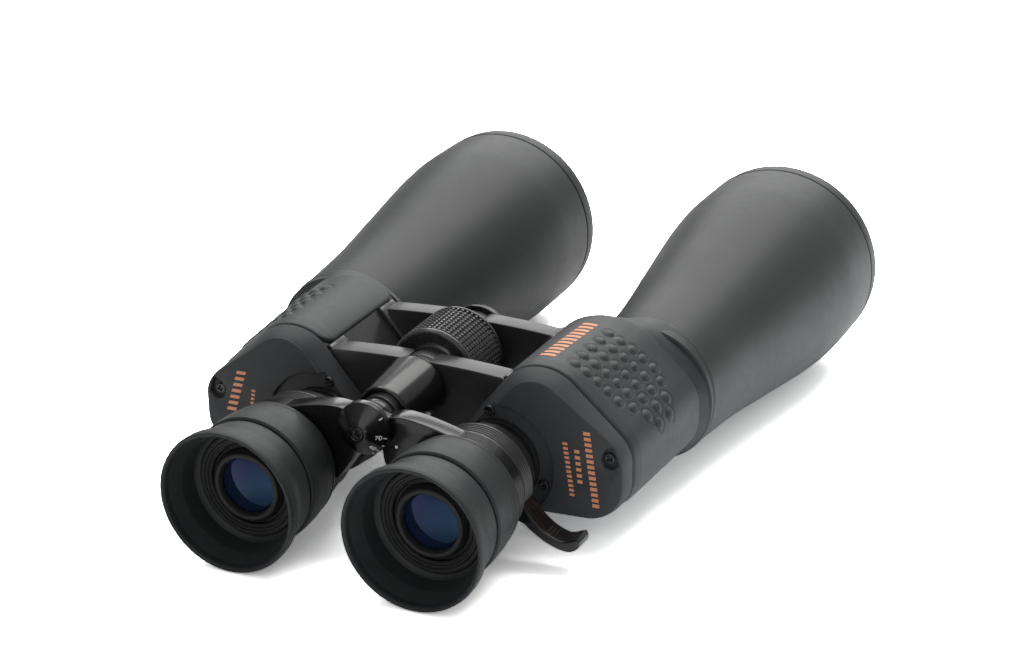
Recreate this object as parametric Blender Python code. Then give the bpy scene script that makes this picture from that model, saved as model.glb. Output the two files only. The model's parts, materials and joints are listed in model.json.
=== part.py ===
"""Zoom porro-prism astronomy binoculars, as separate solids.

Frame: metres, +Z up, +Y from the eyecups (rear) to the objectives (front), +X to the user's right.
Origin: middle of the length, on the centre plane, level with the underside of the barrels.
All sizes below are in millimetres, and y counts from the eyecup rims (0) to the objective
rings (LENGTH). finish() and pivot() convert to the scene's frame.
Side is 1 for the right half and -1 for the left. Profiles are (y, radius), closed in order.
"""
import math

import bmesh
import bpy

for old in list(bpy.data.objects):
    bpy.data.objects.remove(old, do_unlink=True)

# ---------------------------------------------------------------- driving dimensions (mm)
MM = 0.001
LENGTH = 300.0
MID_Y = LENGTH / 2
GAP = 0.3                  # between neighbouring solids

HALF_EYE = 36.7            # half the eye spacing, fully open
EYE_Z = 38.7
HALF_OBJECTIVE = 65.9      # half the spacing of the objectives
OBJECTIVE_Z = 42.0
HINGE_Y = 104.0            # hinge pivots and focus pin
HINGE_Z = 59.0
HINGE = (0, HINGE_Z)       # hinge axis in the X-Z plane

BARREL_Y0, BARREL_Y1 = 146.3, 291.7
BARREL_R = 42.0            # over the objective end
BARREL_ROOT_R = 27.6       # where it meets the prism housing
BARREL_WALL, BARREL_RIM_WALL = 2.4, 2.6
BELL_SHARES = (0.0, 0.16, 0.32, 0.48, 0.64, 0.80)   # stations, as shares of the barrel length
SPIGOT_Y0, SPIGOT_R = 138.0, 22.0                   # rear end of the barrel, in the collar
LENS_R = 35.8              # objective lenses

HOUSING_Y0, HOUSING_Y1 = 78.4, 134.0
COLLAR_Y0, COLLAR_Y1, COLLAR_R = 131.5, 145.9, 25.5
SKIN = 2.3                 # armour thickness over the housing
WALL = 3.0                 # housing wall
REAR_ARM = (HOUSING_Y0, 87.6)
FRONT_ARM = (122.0, 130.4)
ARM_R = 10.4               # hinge knuckles
KNUCKLE_CLEARANCE = 0.5    # around the other half's knuckle
TUBE_R = 6.5               # hinge tube
SHAFT_R = 4.0              # focus shaft
GRIP_R = 17.4              # focus wheel grip

COVER_Y0, COVER_Y1 = 69.5, 78.1
RECESS_R, RECESS_Y1 = 22.6, 72.0     # round recess in the rear cover
RECESS_REACH = 16.8                  # how far it reaches towards the inner slope
COVER_CUT_Y0, COVER_CUT_Y1 = 60.0, 90.0   # ends of cutters that run past the cover
SCREWS = ((33.2, 57.7), (54.5, 31.5), (80.2, 46.2))   # (x, z), right half
LOW_SCREW = 2
SCREW_HOLE_R = 1.5

TUBE_WIDE, TUBE_SLIM = 18.3, 14.6    # eyepiece tube radius at its rear and its front
ZOOM_BORE_R = TUBE_SLIM + GAP
ZOOM_RING_Y0, ZOOM_RING_Y1 = 48.3, 57.6
BRIDGE_Y0, BRIDGE_Y1 = 40.0, 48.0
BRIDGE_MID_Y = (BRIDGE_Y0 + BRIDGE_Y1) / 2
BRIDGE_CUT_Y0, BRIDGE_CUT_Y1 = 30.0, 60.0
BRIDGE_RING_R = 23.2
BRIDGE_KNUCKLE_R = 7.5

PRISM_WIDTH = 19.0         # also half the long face
PRISM_TIP = 1.0            # half the flat at the apex, and the height it takes off
SHELF_Y0, SHELF_Y1 = 103.3, 106.0
SHELF_INSET = 3.4          # in from the housing's outside
SHELF_WINDOW_R = 8.6

# Facets round each turned piece
SEG_BARREL, SEG_EYE, SEG_MID, SEG_LENS, SEG_SMALL = 28, 22, 16, 12, 10

# Housing outline in the X-Z plane: corners (x, z, fillet radius), anticlockwise.
# Edges in order: underside, outer end, outer slope, inner slope, inner side.
HOUSING_CORNERS = (
    (17.2, 19.6, 16.0),
    (86.8, 22.0, 16.0),
    (86.8, 49.7, 14.0),
    (49.4, 83.9, 19.0),
    (17.2, 44.7, 4.0),
)
TOP_CORNER, INNER_CORNER = 3, 4
BARE_OFFSETS = (-SKIN, -SKIN, -SKIN, 0.0, 0.0)   # housing metal, edge by edge
TOP_X, TOP_Z, _ = HOUSING_CORNERS[TOP_CORNER]
INNER_X, INNER_Z, _ = HOUSING_CORNERS[INNER_CORNER]
SLOPE_SPAN = math.hypot(TOP_X - INNER_X, TOP_Z - INNER_Z)
SLOPE_X = (TOP_X - INNER_X) / SLOPE_SPAN         # unit direction up the inner slope
SLOPE_Z = (TOP_Z - INNER_Z) / SLOPE_SPAN

# Outlines in the X-Z plane, right half: (x, z)
ARM_PLATE = (
    (4.6, 48.8), (22.0, 48.8), (42.0, 50.0), (42.0, 60.0),
    (38.0, 63.6), (35.2, 67.6), (20.0, 68.9), (4.6, 69.3),
)
BRIDGE_WEB = (
    (6.2, 45.2), (18.0, 33.5), (36.0, 40.0), (34.5, 61.2), (25.0, 63.2),
    (17.0, 64.2), (11.6, 64.1), (4.6, 62.3), (4.6, 51.5),
)
ZOOM_LEVER = (
    (53.0, 27.6), (56.6, 27.0), (59.4, 24.5), (65.3, 21.6), (71.3, 19.6), (76.0, 19.2), (79.8, 23.0),
    (79.0, 26.4), (74.5, 24.0), (67.3, 25.8), (61.4, 30.2), (55.8, 37.0), (53.0, 37.4),
)


# ---------------------------------------------------------------- materials
def material(name, colour, roughness, metallic=0.0):
    made = bpy.data.materials.new(name)
    made.use_nodes = True
    shader = made.node_tree.nodes["Principled BSDF"]
    shader.inputs["Base Color"].default_value = (*colour, 1.0)
    shader.inputs["Roughness"].default_value = roughness
    shader.inputs["Metallic"].default_value = metallic
    made.diffuse_color = (*colour, 1.0)
    return made


RUBBER = material("rubber_armour", colour=(0.035, 0.038, 0.040), roughness=0.72)
GLOSS = material("gloss_black_metal", colour=(0.012, 0.012, 0.013), roughness=0.18, metallic=0.4)
SATIN = material("satin_black_metal", colour=(0.02, 0.02, 0.022), roughness=0.38, metallic=0.5)
PLASTIC = material("matte_black_plastic", colour=(0.022, 0.022, 0.024), roughness=0.5)
GLASS = material("coated_glass", colour=(0.25, 0.4, 0.75), roughness=0.05)
PRISM = material("prism_glass", colour=(0.85, 0.9, 0.92), roughness=0.03)
STEEL = material("blackened_steel", colour=(0.16, 0.16, 0.17), roughness=0.3, metallic=1.0)


# ---------------------------------------------------------------- objects
def scene_point(x, y, z):
    return x * MM, (y - MID_Y) * MM, z * MM


def difference(point, base):
    return [a - b for a, b in zip(point, base)]


def pivot(name, x, y, z, parent=None):
    """An empty on a joint axis; the pieces that move together hang on it."""
    made = bpy.data.objects.new(name, None)
    made.empty_display_size = 0.01
    bpy.context.scene.collection.objects.link(made)
    place = scene_point(x, y, z)
    made["world"] = place
    made.parent = parent
    made.location = difference(place, parent["world"]) if parent else place
    return made


def finish(name, shape, look, parent, origin=None):
    """Makes the object from millimetre geometry, its origin on the parent pivot or as given."""
    bmesh.ops.recalc_face_normals(shape, faces=shape.faces)
    base = tuple(parent["world"])
    here = scene_point(*origin) if origin else base
    for vertex in shape.verts:
        vertex.co = difference(scene_point(*vertex.co), here)
    mesh = bpy.data.meshes.new(name)
    shape.to_mesh(mesh)
    shape.free()
    mesh.shade_smooth()
    mesh.set_sharp_from_angle(angle=math.radians(32))
    mesh.materials.append(look)
    made = bpy.data.objects.new(name, mesh)
    bpy.context.scene.collection.objects.link(made)
    made.parent = parent
    made.location = difference(here, base)
    return made


def combine(target, operation, name, shape):
    """Adds a boolean step with a hidden helper that moves with the target."""
    helper = finish(name, shape, STEEL, target.parent)
    helper.hide_render = True
    helper.display_type = "WIRE"
    step = target.modifiers.new(operation.lower(), "BOOLEAN")
    step.operation = operation
    step.solver = "EXACT"
    step.object = helper


def cut(target, name, shape):
    combine(target, "DIFFERENCE", name, shape)


def join(target, name, shape):
    combine(target, "UNION", name, shape)


# ---------------------------------------------------------------- shapes
def circle(centre, radius, count):
    angles = [2 * math.pi * k / count for k in range(count)]
    return [(centre[0] + radius * math.cos(a), centre[1] + radius * math.sin(a)) for a in angles]


def mirrored(points, side):
    return [(side * x, z) for x, z in points]


def face_band(shape, first, second, count):
    """Faces between two rings of vertices, either of which may be a single vertex."""
    for k in range(count):
        n = (k + 1) % count
        corners = (
            first[k % len(first)], first[n % len(first)],
            second[n % len(second)], second[k % len(second)],
        )
        unique = list(dict.fromkeys(corners))
        if len(unique) > 2:
            shape.faces.new(unique)


def lathe(centre, profile, segments):
    """Turns a profile about the axis along Y through centre (x, z).

    A profile that begins and ends on the axis is a solid; any other is a closed ring.
    """
    shape = bmesh.new()
    rings = []
    for y, radius in profile:
        if radius <= 1e-6:
            points = [centre]
        else:
            points = circle(centre, radius, segments)
        rings.append([shape.verts.new((x, y, z)) for x, z in points])
    pairs = list(zip(rings, rings[1:]))
    if profile[0][1] > 1e-6:
        pairs.append((rings[-1], rings[0]))
    for first, second in pairs:
        face_band(shape, first, second, segments)
    return shape


def skin(sections):
    """Skins sections of one point count, each [(x, y, z), ...], and caps both ends."""
    shape = bmesh.new()
    rings = [[shape.verts.new(point) for point in section] for section in sections]
    for first, second in zip(rings, rings[1:]):
        face_band(shape, first, second, len(first))
    shape.faces.new(rings[0])
    shape.faces.new(rings[-1])
    return shape


def loft(stations):
    """Skins outlines across Y, each (y, [(x, z), ...])."""
    return skin([[(x, y, z) for x, z in points] for y, points in stations])


def slab(points, y0, y1):
    return loft([(y0, points), (y1, points)])


def disc(centre, radius, segments, y0, y1):
    return slab(circle(centre, radius, segments), y0, y1)


def cross_rod(half_length, radius):
    """A rod along X through the hinge axis at the focus pin."""
    points = circle((HINGE_Y, HINGE_Z), radius, SEG_SMALL)
    return skin([[(x, y, z) for y, z in points] for x in (-half_length, half_length)])


def ring(name, centre, profile, segments, look, parent):
    """A turned piece with its origin on its own axis, at the mean y of its profile."""
    mean_y = sum(y for y, _ in profile) / len(profile)
    origin = (centre[0], mean_y, centre[1])
    return finish(name, lathe(centre, profile, segments), look, parent, origin)


def outline(offsets, side, arc=5, top_ease=0.0):
    """The housing outline with each edge moved out and its corners rounded.

    offsets is one number, or one per edge; top_ease adds to the top corner's radius.
    Each corner gets arc + 1 points.
    """
    if not isinstance(offsets, tuple):
        offsets = (offsets,) * len(HOUSING_CORNERS)
    edges = []
    following = HOUSING_CORNERS[1:] + HOUSING_CORNERS[:1]
    for (x, z, _), (next_x, next_z, _), offset in zip(HOUSING_CORNERS, following, offsets):
        span = math.hypot(next_x - x, next_z - z)
        run_x, run_z = (next_x - x) / span, (next_z - z) / span
        edges.append((x + run_z * offset, z - run_x * offset, run_x, run_z))
    points = []
    for i, (_, _, fillet) in enumerate(HOUSING_CORNERS):
        in_x, in_z, in_run_x, in_run_z = edges[i - 1]
        out_x, out_z, out_run_x, out_run_z = edges[i]
        cross = in_run_x * out_run_z - in_run_z * out_run_x
        along = ((out_x - in_x) * out_run_z - (out_z - in_z) * out_run_x) / cross
        corner_x, corner_z = in_x + in_run_x * along, in_z + in_run_z * along
        radius = max(fillet + (offsets[i - 1] + offsets[i]) / 2, 0.8)
        if i == TOP_CORNER:
            radius += top_ease
        turn = math.atan2(cross, in_run_x * out_run_x + in_run_z * out_run_z)
        reach = radius * math.tan(turn / 2)
        start_x, start_z = corner_x - in_run_x * reach, corner_z - in_run_z * reach
        centre_x, centre_z = start_x - in_run_z * radius, start_z + in_run_x * radius
        first = math.atan2(start_z - centre_z, start_x - centre_x)
        for k in range(arc + 1):
            angle = first + turn * k / arc
            x = centre_x + radius * math.cos(angle)
            points.append((side * x, centre_z + radius * math.sin(angle)))
    return points


def half_lap(y0, y1, in_front, margin):
    """Y ranges of one half's knuckle and of the cutter that clears the other half's."""
    middle = (y0 + y1) / 2
    if in_front:
        split = middle + GAP / 2
        return (split, y1), (y0 - margin, split)
    split = middle - GAP / 2
    return (y0, split), (split, y1 + margin)


def eye_axis(side):
    return side * HALF_EYE, EYE_Z


def objective_axis(side):
    return side * HALF_OBJECTIVE, OBJECTIVE_Z


# ---------------------------------------------------------------- centre hinge and focus
def build_hinge_tube(hinge):
    profile = [
        (131.5, 0), (131.5, TUBE_R), (77.6, TUBE_R), (77.6, 12.4), (75.4, 12.4), (50.9, 10.2),
        (50.9, 8.3), (62.0, 8.3), (62.0, SHAFT_R + GAP), (112.0, SHAFT_R + GAP), (112.0, 0),
    ]
    tube = ring("hinge_tube", HINGE, profile, SEG_MID, GLOSS, hinge)
    # The focus pin passes through this slot.
    half_width, half_height = 12, 1.7
    low, high = HINGE_Z - half_height, HINGE_Z + half_height
    slot = [(-half_width, low), (half_width, low), (half_width, high), (-half_width, high)]
    cut(tube, "tube_slot_cutter", slab(slot, 95.9, 108.0))


def build_tripod_mount(hinge):
    """Socket on the front end of the hinge tube, and the cap in it."""
    socket = [
        (130.7, 6.8), (130.7, 12.4), (137.5, 9.6), (137.5, 6.0),
        (136.0, 6.0), (136.0, 3.3), (131.9, 3.3), (131.9, 6.8),
    ]
    ring("tripod_socket", HINGE, socket, SEG_MID, GLOSS, hinge)
    cap = [
        (132.4, 0), (132.4, 2.9), (136.3, 2.9), (136.3, 5.6),
        (137.1, 5.6), (137.1, 1.4), (136.7, 1.4), (136.7, 0),
    ]
    cap_pivot = pivot("tripod_cap_axis", 0, 137, HINGE_Z, hinge)
    ring("tripod_cap", HINGE, cap, SEG_LENS, SATIN, cap_pivot)


def build_focus_wheel(hinge):
    wheel_pivot = pivot("focus_wheel_axis", 0, HINGE_Y, HINGE_Z, hinge)
    wheel = [
        (88.0, 6.8), (88.0, 9.4), (91.2, 9.8), (90.8, 15.6), (92.0, 17.2), (93.0, 17.2),
        (93.0, 14.9), (115.1, 14.9), (115.1, 17.2), (116.1, 17.2), (117.3, 15.6), (116.9, 9.8),
        (121.0, 9.4), (121.0, 6.8), (110.0, 6.8), (110.0, 8.9), (94.5, 8.9), (94.5, 6.8),
    ]
    ring("focus_wheel", HINGE, wheel, SEG_MID, GLOSS, wheel_pivot)
    grip = [(93.3, 15.2), (93.3, GRIP_R), (114.8, GRIP_R), (114.8, 15.2)]
    ring("focus_grip", HINGE, grip, SEG_EYE, SATIN, wheel_pivot)


def build_focus_shaft(hinge):
    shaft_pivot = pivot("focus_shaft_axis", 0, HINGE_Y, HINGE_Z, hinge)
    profile = [
        (36.3, 0), (36.3, SHAFT_R), (48.3, SHAFT_R), (48.3, 7.8),
        (59.4, 7.8), (59.4, SHAFT_R), (109.0, SHAFT_R), (109.0, 0),
    ]
    pin_r = 1.4
    shaft = ring("focus_shaft", HINGE, profile, SEG_MID, STEEL, shaft_pivot)
    cut(shaft, "shaft_pin_hole_cutter", cross_rod(6, pin_r + GAP))
    finish("focus_pin", cross_rod(8.4, pin_r), STEEL, shaft_pivot)


# ---------------------------------------------------------------- barrel and objective
def build_barrel(hand, side, half):
    """A bell that grows from the collar to the objective, with a spigot into the housing."""
    bell = []
    for share in BELL_SHARES:
        y = BARREL_Y0 + share * (BARREL_Y1 - BARREL_Y0)
        ease = share / BELL_SHARES[-1]
        swell = 0.55 * ease + 0.45 * (3 * ease**2 - 2 * ease**3)   # part straight, part S-curve
        bell.append((y, BARREL_ROOT_R + (BARREL_R - BARREL_ROOT_R) * swell))
    inside = [(y, radius - BARREL_WALL) for y, radius in bell[:0:-1]]
    profile = (
        [(SPIGOT_Y0, SPIGOT_R), (BARREL_Y0, SPIGOT_R)]
        + bell
        + [(BARREL_Y1, BARREL_R), (BARREL_Y1, BARREL_R - BARREL_RIM_WALL)]
        + inside
        + [(150.0, 24.6), (SPIGOT_Y0, SPIGOT_R - BARREL_WALL)]
    )
    ring(hand + "_barrel", objective_axis(side), profile, SEG_BARREL, RUBBER, half)


def dome(y, height):
    """Profile from the axis out to LENS_R, on a shallow dome whose top is at y + height."""
    steps = 3
    return [(y + height * (1 - (k / steps) ** 2), LENS_R * k / steps) for k in range(steps + 1)]


def build_objective(hand, side, half):
    centre = objective_axis(side)
    rim = [
        (286.0, 36.1), (286.0, 39.0), (292.1, 39.0), (292.1, 41.9), (298.6, 41.9),
        (LENGTH, 40.9), (LENGTH, 37.6), (297.6, 34.6), (296.4, 34.6), (296.4, 36.1),
    ]
    ring(hand + "_objective_ring", centre, rim, SEG_BARREL, PLASTIC, half)
    crown = dome(291.9, 3.6) + dome(290.6, -3.0)[::-1]
    ring(hand + "_objective_crown", centre, crown, SEG_MID, GLASS, half)
    flint = dome(290.2, -3.0) + dome(286.4, -1.2)[::-1]
    ring(hand + "_objective_flint", centre, flint, SEG_MID, GLASS, half)


# ---------------------------------------------------------------- prism housing
def add_hinge_arm(housing, label, side, y0, y1):
    """A plate from the housing to the hinge, with a half-lapped knuckle; the right's is in front."""
    own, other = half_lap(y0, y1, in_front=side > 0, margin=0.4)
    join(housing, label + "_arm_blank", slab(mirrored(ARM_PLATE, side), y0, y1))
    join(housing, label + "_knuckle_blank", disc(HINGE, ARM_R, SEG_MID, *own))
    cut(housing, label + "_lap_cutter", disc(HINGE, ARM_R + KNUCKLE_CLEARANCE, SEG_MID, *other))
    cut(housing, label + "_bore_cutter", disc(HINGE, TUBE_R + GAP, SEG_LENS, y0 - 1, y1 + 1))


def build_housing(hand, side, half):
    """Box with a front collar, two hinge arms and posts for the cover screws; open at the rear."""
    x, z = centre = objective_axis(side)
    box = slab(outline(BARE_OFFSETS, side), HOUSING_Y0, HOUSING_Y1)
    housing = finish(hand + "_prism_housing", box, SATIN, half, (x, HINGE_Y, z))
    collar = disc(centre, COLLAR_R, SEG_BARREL, COLLAR_Y0, COLLAR_Y1)
    join(housing, hand + "_collar_blank", collar)
    add_hinge_arm(housing, hand + "_rear", side, *REAR_ARM)
    add_hinge_arm(housing, hand + "_front", side, *FRONT_ARM)
    cavity = slab(outline(-SKIN - WALL, side, arc=4), 70.0, 131.0)
    cut(housing, hand + "_prism_cavity_cutter", cavity)
    opening = disc(centre, SPIGOT_R + GAP, SEG_BARREL, 129.0, 147.0)
    cut(housing, hand + "_barrel_bore_cutter", opening)
    for k, (screw_x, screw_z) in enumerate(SCREWS, 1):
        spot = (side * screw_x, screw_z)
        post = circle(spot, 3.3, SEG_SMALL)
        if k == LOW_SCREW:
            # Stretched down to meet the housing's floor.
            post = [(x, z - 4.5 if z < screw_z - 1 else z) for x, z in post]
        join(housing, f"{hand}_screw_post_{k}", slab(post, HOUSING_Y0, 90.0))
        thread = disc(spot, SCREW_HOLE_R, SEG_SMALL, 70.0, 85.0)
        cut(housing, f"{hand}_thread_cutter_{k}", thread)


def shoulder(edge, centre, share, inset):
    """The edge moved in by inset, then by this share of the way to the barrel root's circle."""
    moved = []
    for x, z in edge:
        far = math.hypot(x - centre[0], z - centre[1])
        near = (far - inset) * (1 - share) + (BARREL_ROOT_R - 0.1) * share
        moved.append((
            centre[0] + (x - centre[0]) * near / far,
            centre[1] + (z - centre[1]) * near / far,
        ))
    return moved


def build_armour(hand, side, half):
    """A rubber shell over the top, outer side and underside.

    Its front shoulder narrows to the round collar behind the barrel.
    """
    x, z = centre = objective_axis(side)
    edge = outline((0.8, 3.8, 3.8, 0.6, 0.6), side, top_ease=6.5)
    body = loft([
        (78.5, outline(0.0, side)),
        (80.0, outline(0.7, side, top_ease=1)),
        (106.0, outline((0.8, 2.2, 2.2, 0.7, 0.7), side, top_ease=4)),
        (133.4, edge),
        (134.6, shoulder(edge, centre, share=0.0, inset=0.9)),
        (137.5, shoulder(edge, centre, share=0.25, inset=0.9)),
        (142.0, shoulder(edge, centre, share=0.75, inset=0.3)),
        (COLLAR_Y1, shoulder(edge, centre, share=1.0, inset=0.0)),
    ])
    shell = finish(hand + "_armour", body, RUBBER, half, (x, HINGE_Y, z))
    collar = disc(centre, 27.5, SEG_BARREL, 136.0, 146.0)
    join(shell, hand + "_armour_collar_blank", collar)
    hollow_y0, hollow_y1 = 60.0, HOUSING_Y1 + GAP
    loose = tuple(offset + GAP for offset in BARE_OFFSETS)
    cut(shell, hand + "_armour_hollow_cutter", slab(outline(loose, side), hollow_y0, hollow_y1))
    bore = disc(centre, COLLAR_R + GAP, SEG_BARREL, COLLAR_Y0 - GAP, 150.0)
    cut(shell, hand + "_armour_bore_cutter", bore)

    # The inner side and inner slope are left bare, to this depth inside the outline.
    depth = 1.2
    start_x, start_z = INNER_X + SLOPE_Z * depth, INNER_Z - SLOPE_X * depth
    end_x, end_z = start_x + 52 * SLOPE_X, start_z + 52 * SLOPE_Z
    side_x = INNER_X + depth
    bare = [
        (-6, 0),
        (side_x, 0),
        (side_x, start_z + (side_x - start_x) * SLOPE_Z / SLOPE_X),
        (end_x, end_z),
        (-6, end_z),
    ]
    cut(shell, hand + "_bare_side_cutter", slab(mirrored(bare, side), hollow_y0, hollow_y1))


def build_rear_cover(hand, side, half):
    """Cover with a round recess for the eyepiece and three screw pockets."""
    body = loft([
        (COVER_Y0, outline((-1.6, -0.8, -1.9, -0.6, -0.5), side)),
        (71.2, outline((-0.6, -0.3, -0.8, -0.2, -0.2), side)),
        (COVER_Y1, outline(-0.1, side)),
    ])
    origin = (side * HALF_OBJECTIVE, 72, OBJECTIVE_Z)
    cover = finish(hand + "_rear_cover", body, PLASTIC, half, origin)
    pocket = slab(outline(-6.0, side, arc=4), 75.0, COVER_CUT_Y1)
    cut(cover, hand + "_cover_pocket_cutter", pocket)

    # The recess stops short of the inner slope, which leaves a rim there.
    eye_x, eye_z = eye = eye_axis(side)
    normal_x, normal_z = -side * SLOPE_Z, SLOPE_X
    recess = []
    for x, z in circle(eye, RECESS_R, SEG_EYE + 8):
        over = (x - eye_x) * normal_x + (z - eye_z) * normal_z - RECESS_REACH
        recess.append((x - max(over, 0) * normal_x, z - max(over, 0) * normal_z))
    cut(cover, hand + "_cover_recess_cutter", slab(recess, COVER_CUT_Y0, RECESS_Y1))
    bore = disc(eye, 16.0, SEG_EYE, COVER_CUT_Y0, COVER_CUT_Y1)
    cut(cover, hand + "_cover_bore_cutter", bore)

    screw = [
        (70.9, 0), (70.9, 1.4), (71.3, 2.0), (72.0, 2.0), (72.0, 1.2), (82.0, 1.2), (82.0, 0),
    ]
    for k, (screw_x, screw_z) in enumerate(SCREWS, 1):
        spot = (side * screw_x, screw_z)
        head = disc(spot, 2.4, SEG_SMALL, COVER_CUT_Y0, 72.3)
        cut(cover, f"{hand}_screw_pocket_cutter_{k}", head)
        hole = disc(spot, SCREW_HOLE_R, SEG_SMALL, COVER_CUT_Y0, COVER_CUT_Y1)
        cut(cover, f"{hand}_screw_hole_cutter_{k}", hole)
        ring(f"{hand}_cover_screw_{k}", spot, screw, SEG_SMALL, STEEL, half)


# ---------------------------------------------------------------- prisms
def build_porro_prism(name, start, end, face_y, apex_y, half):
    """A prism whose long face spans the beam's two places, start and end, each (x, z)."""
    mid_x, mid_z = (start[0] + end[0]) / 2, (start[1] + end[1]) / 2
    angle = math.atan2(end[1] - start[1], end[0] - start[0])
    cos, sin = math.cos(angle), math.sin(angle)
    # (distance along the long face, y)
    section = [
        (-PRISM_WIDTH, face_y), (PRISM_WIDTH, face_y), (PRISM_TIP, apex_y), (-PRISM_TIP, apex_y),
    ]
    shape = skin([
        [(mid_x + cos * along - sin * across, y, mid_z + sin * along + cos * across)
         for along, y in section]
        for across in (-PRISM_WIDTH / 2, PRISM_WIDTH / 2)
    ])
    finish(name, shape, PRISM, half, (mid_x, face_y, mid_z))


def build_prisms(hand, side, half):
    """Each prism turns the beam back and shifts it; the two shifts are at right angles.

    A shelf with three round windows stands between them.
    """
    objective, eye = objective_axis(side), eye_axis(side)
    across_x, across_z = eye[0] - objective[0], eye[1] - objective[1]
    shift = math.hypot(across_x, across_z) / math.sqrt(2)
    heading = math.atan2(across_z, across_x) - side * math.pi / 4
    middle = (
        objective[0] + shift * math.cos(heading),
        objective[1] + shift * math.sin(heading),
    )
    height = PRISM_WIDTH - PRISM_TIP
    rear_y, front_y = SHELF_Y0 - GAP, SHELF_Y1 + GAP
    build_porro_prism(hand + "_prism_rear", objective, middle, rear_y, rear_y - height, half)
    build_porro_prism(hand + "_prism_front", middle, eye, front_y, front_y + height, half)

    plate = slab(outline(-SKIN - SHELF_INSET, side, arc=3), SHELF_Y0, SHELF_Y1)
    origin = (objective[0], SHELF_Y0, objective[1])
    shelf = finish(hand + "_prism_shelf", plate, STEEL, half, origin)
    for k, centre in enumerate((objective, middle, eye), 1):
        window = disc(centre, SHELF_WINDOW_R, SEG_LENS, SHELF_Y0 - 1, SHELF_Y1 + 1)
        cut(shelf, f"{hand}_shelf_window_cutter_{k}", window)


def build_focus_guide(hand, side, half):
    bore_r = TUBE_SLIM + GAP
    profile = [(70.2, bore_r), (70.2, 15.7), (77.4, 15.7), (77.4, bore_r)]
    ring(hand + "_focus_guide", eye_axis(side), profile, SEG_EYE, SATIN, half)


# ---------------------------------------------------------------- eyepiece
def build_bridge_arm(hand, side, carriage):
    """A ring round the eyepiece tube and a web to the focus shaft; the right knuckle is behind."""
    eye = eye_axis(side)
    blank = disc(eye, BRIDGE_RING_R, SEG_EYE, BRIDGE_Y0, BRIDGE_Y1)
    arm = finish(hand + "_bridge_arm", blank, GLOSS, carriage, (0, BRIDGE_MID_Y, HINGE_Z))
    join(arm, hand + "_web_blank", slab(mirrored(BRIDGE_WEB, side), BRIDGE_Y0, BRIDGE_Y1))
    own, other = half_lap(BRIDGE_Y0, BRIDGE_Y1, in_front=side < 0, margin=1)
    label = hand + "_bridge_"
    join(arm, label + "knuckle_blank", disc(HINGE, BRIDGE_KNUCKLE_R, SEG_LENS, *own))
    lap_r = BRIDGE_KNUCKLE_R + KNUCKLE_CLEARANCE
    cut(arm, label + "lap_cutter", disc(HINGE, lap_r, SEG_LENS, *other))
    through = (BRIDGE_CUT_Y0, BRIDGE_CUT_Y1)
    cut(arm, label + "shaft_cutter", disc(HINGE, SHAFT_R + GAP, SEG_LENS, *through))
    cut(arm, label + "bore_cutter", disc(eye, TUBE_WIDE + GAP, SEG_EYE, *through))


def build_eyepiece_tube(hand, eye, carriage):
    tube = [
        (15.8, 15.5), (15.8, TUBE_WIDE), (47.6, TUBE_WIDE), (47.6, TUBE_SLIM),
        (75.8, TUBE_SLIM), (75.8, 12.2), (46.0, 12.2), (46.0, 15.5),
    ]
    ring(hand + "_eyepiece_tube", eye, tube, SEG_EYE, SATIN, carriage)
    lens = [(67.0, 0), (67.8, 7.0), (69.4, 11.9), (72.4, 11.9), (73.6, 7.0), (74.0, 0)]
    ring(hand + "_field_lens", eye, lens, SEG_LENS, GLASS, carriage)


def build_zoom_ring(hand, side, zoom):
    """The zoom ring; the right one has the thumb lever."""
    eye = eye_axis(side)
    profile = [
        (ZOOM_RING_Y0, ZOOM_BORE_R), (ZOOM_RING_Y0, 21.2), (ZOOM_RING_Y1, 21.2),
        (57.9, 17.8), (63.8, 17.8), (63.8, ZOOM_BORE_R),
    ]
    turner = ring(hand + "_zoom_ring", eye, profile, SEG_EYE, PLASTIC, zoom)
    if side > 0:
        join(turner, "zoom_lever_blank", slab(ZOOM_LEVER, ZOOM_RING_Y0, ZOOM_RING_Y1))
        cut(turner, "zoom_ring_bore_cutter", disc(eye, ZOOM_BORE_R, SEG_EYE, 40, 70))


def build_zoom_cell(hand, eye, cell):
    holder = [(49.0, 10.3), (49.0, 11.9), (58.0, 11.9), (58.0, 10.3)]
    ring(hand + "_zoom_cell", eye, holder, SEG_MID, SATIN, cell)
    lens = [(50.2, 0), (51.4, 10.0), (55.2, 10.0), (56.4, 0)]
    ring(hand + "_zoom_lens", eye, lens, SEG_LENS, GLASS, cell)


def build_eye_end(hand, grip_name, eye, eye_end):
    """The eyecup and the grip ring in front of it."""
    grip = [
        (15.4, 18.6), (15.4, 20.0), (19.7, 20.0), (19.7, 24.4), (20.6, 24.9),
        (30.0, 24.2), (38.6, 23.0), (39.6, 22.4), (39.6, 18.6),
    ]
    ring(hand + grip_name, eye, grip, SEG_EYE, PLASTIC, eye_end)
    cup = [
        (19.4, 20.3), (19.4, 24.7), (10.0, 25.5), (3.2, 26.9), (0.8, 27.2), (0.0, 26.6),
        (0.0, 25.9), (1.0, 25.3), (7.0, 24.0), (14.6, 22.2), (14.9, 20.3),
    ]
    ring(hand + "_eyecup", eye, cup, SEG_EYE, RUBBER, eye_end)


def build_eye_lens(hand, eye, eye_cell):
    holder = [
        (15.0, 10.8), (15.0, 13.6), (16.4, 15.2), (27.0, 15.2),
        (27.0, 12.9), (17.4, 12.9), (17.4, 10.8),
    ]
    ring(hand + "_eye_cell", eye, holder, SEG_MID, PLASTIC, eye_cell)
    lens = [(16.6, 0), (17.7, 8.0), (18.4, 12.6), (22.6, 12.6), (24.4, 0)]
    ring(hand + "_eye_lens", eye, lens, SEG_LENS, GLASS, eye_cell)


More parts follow.
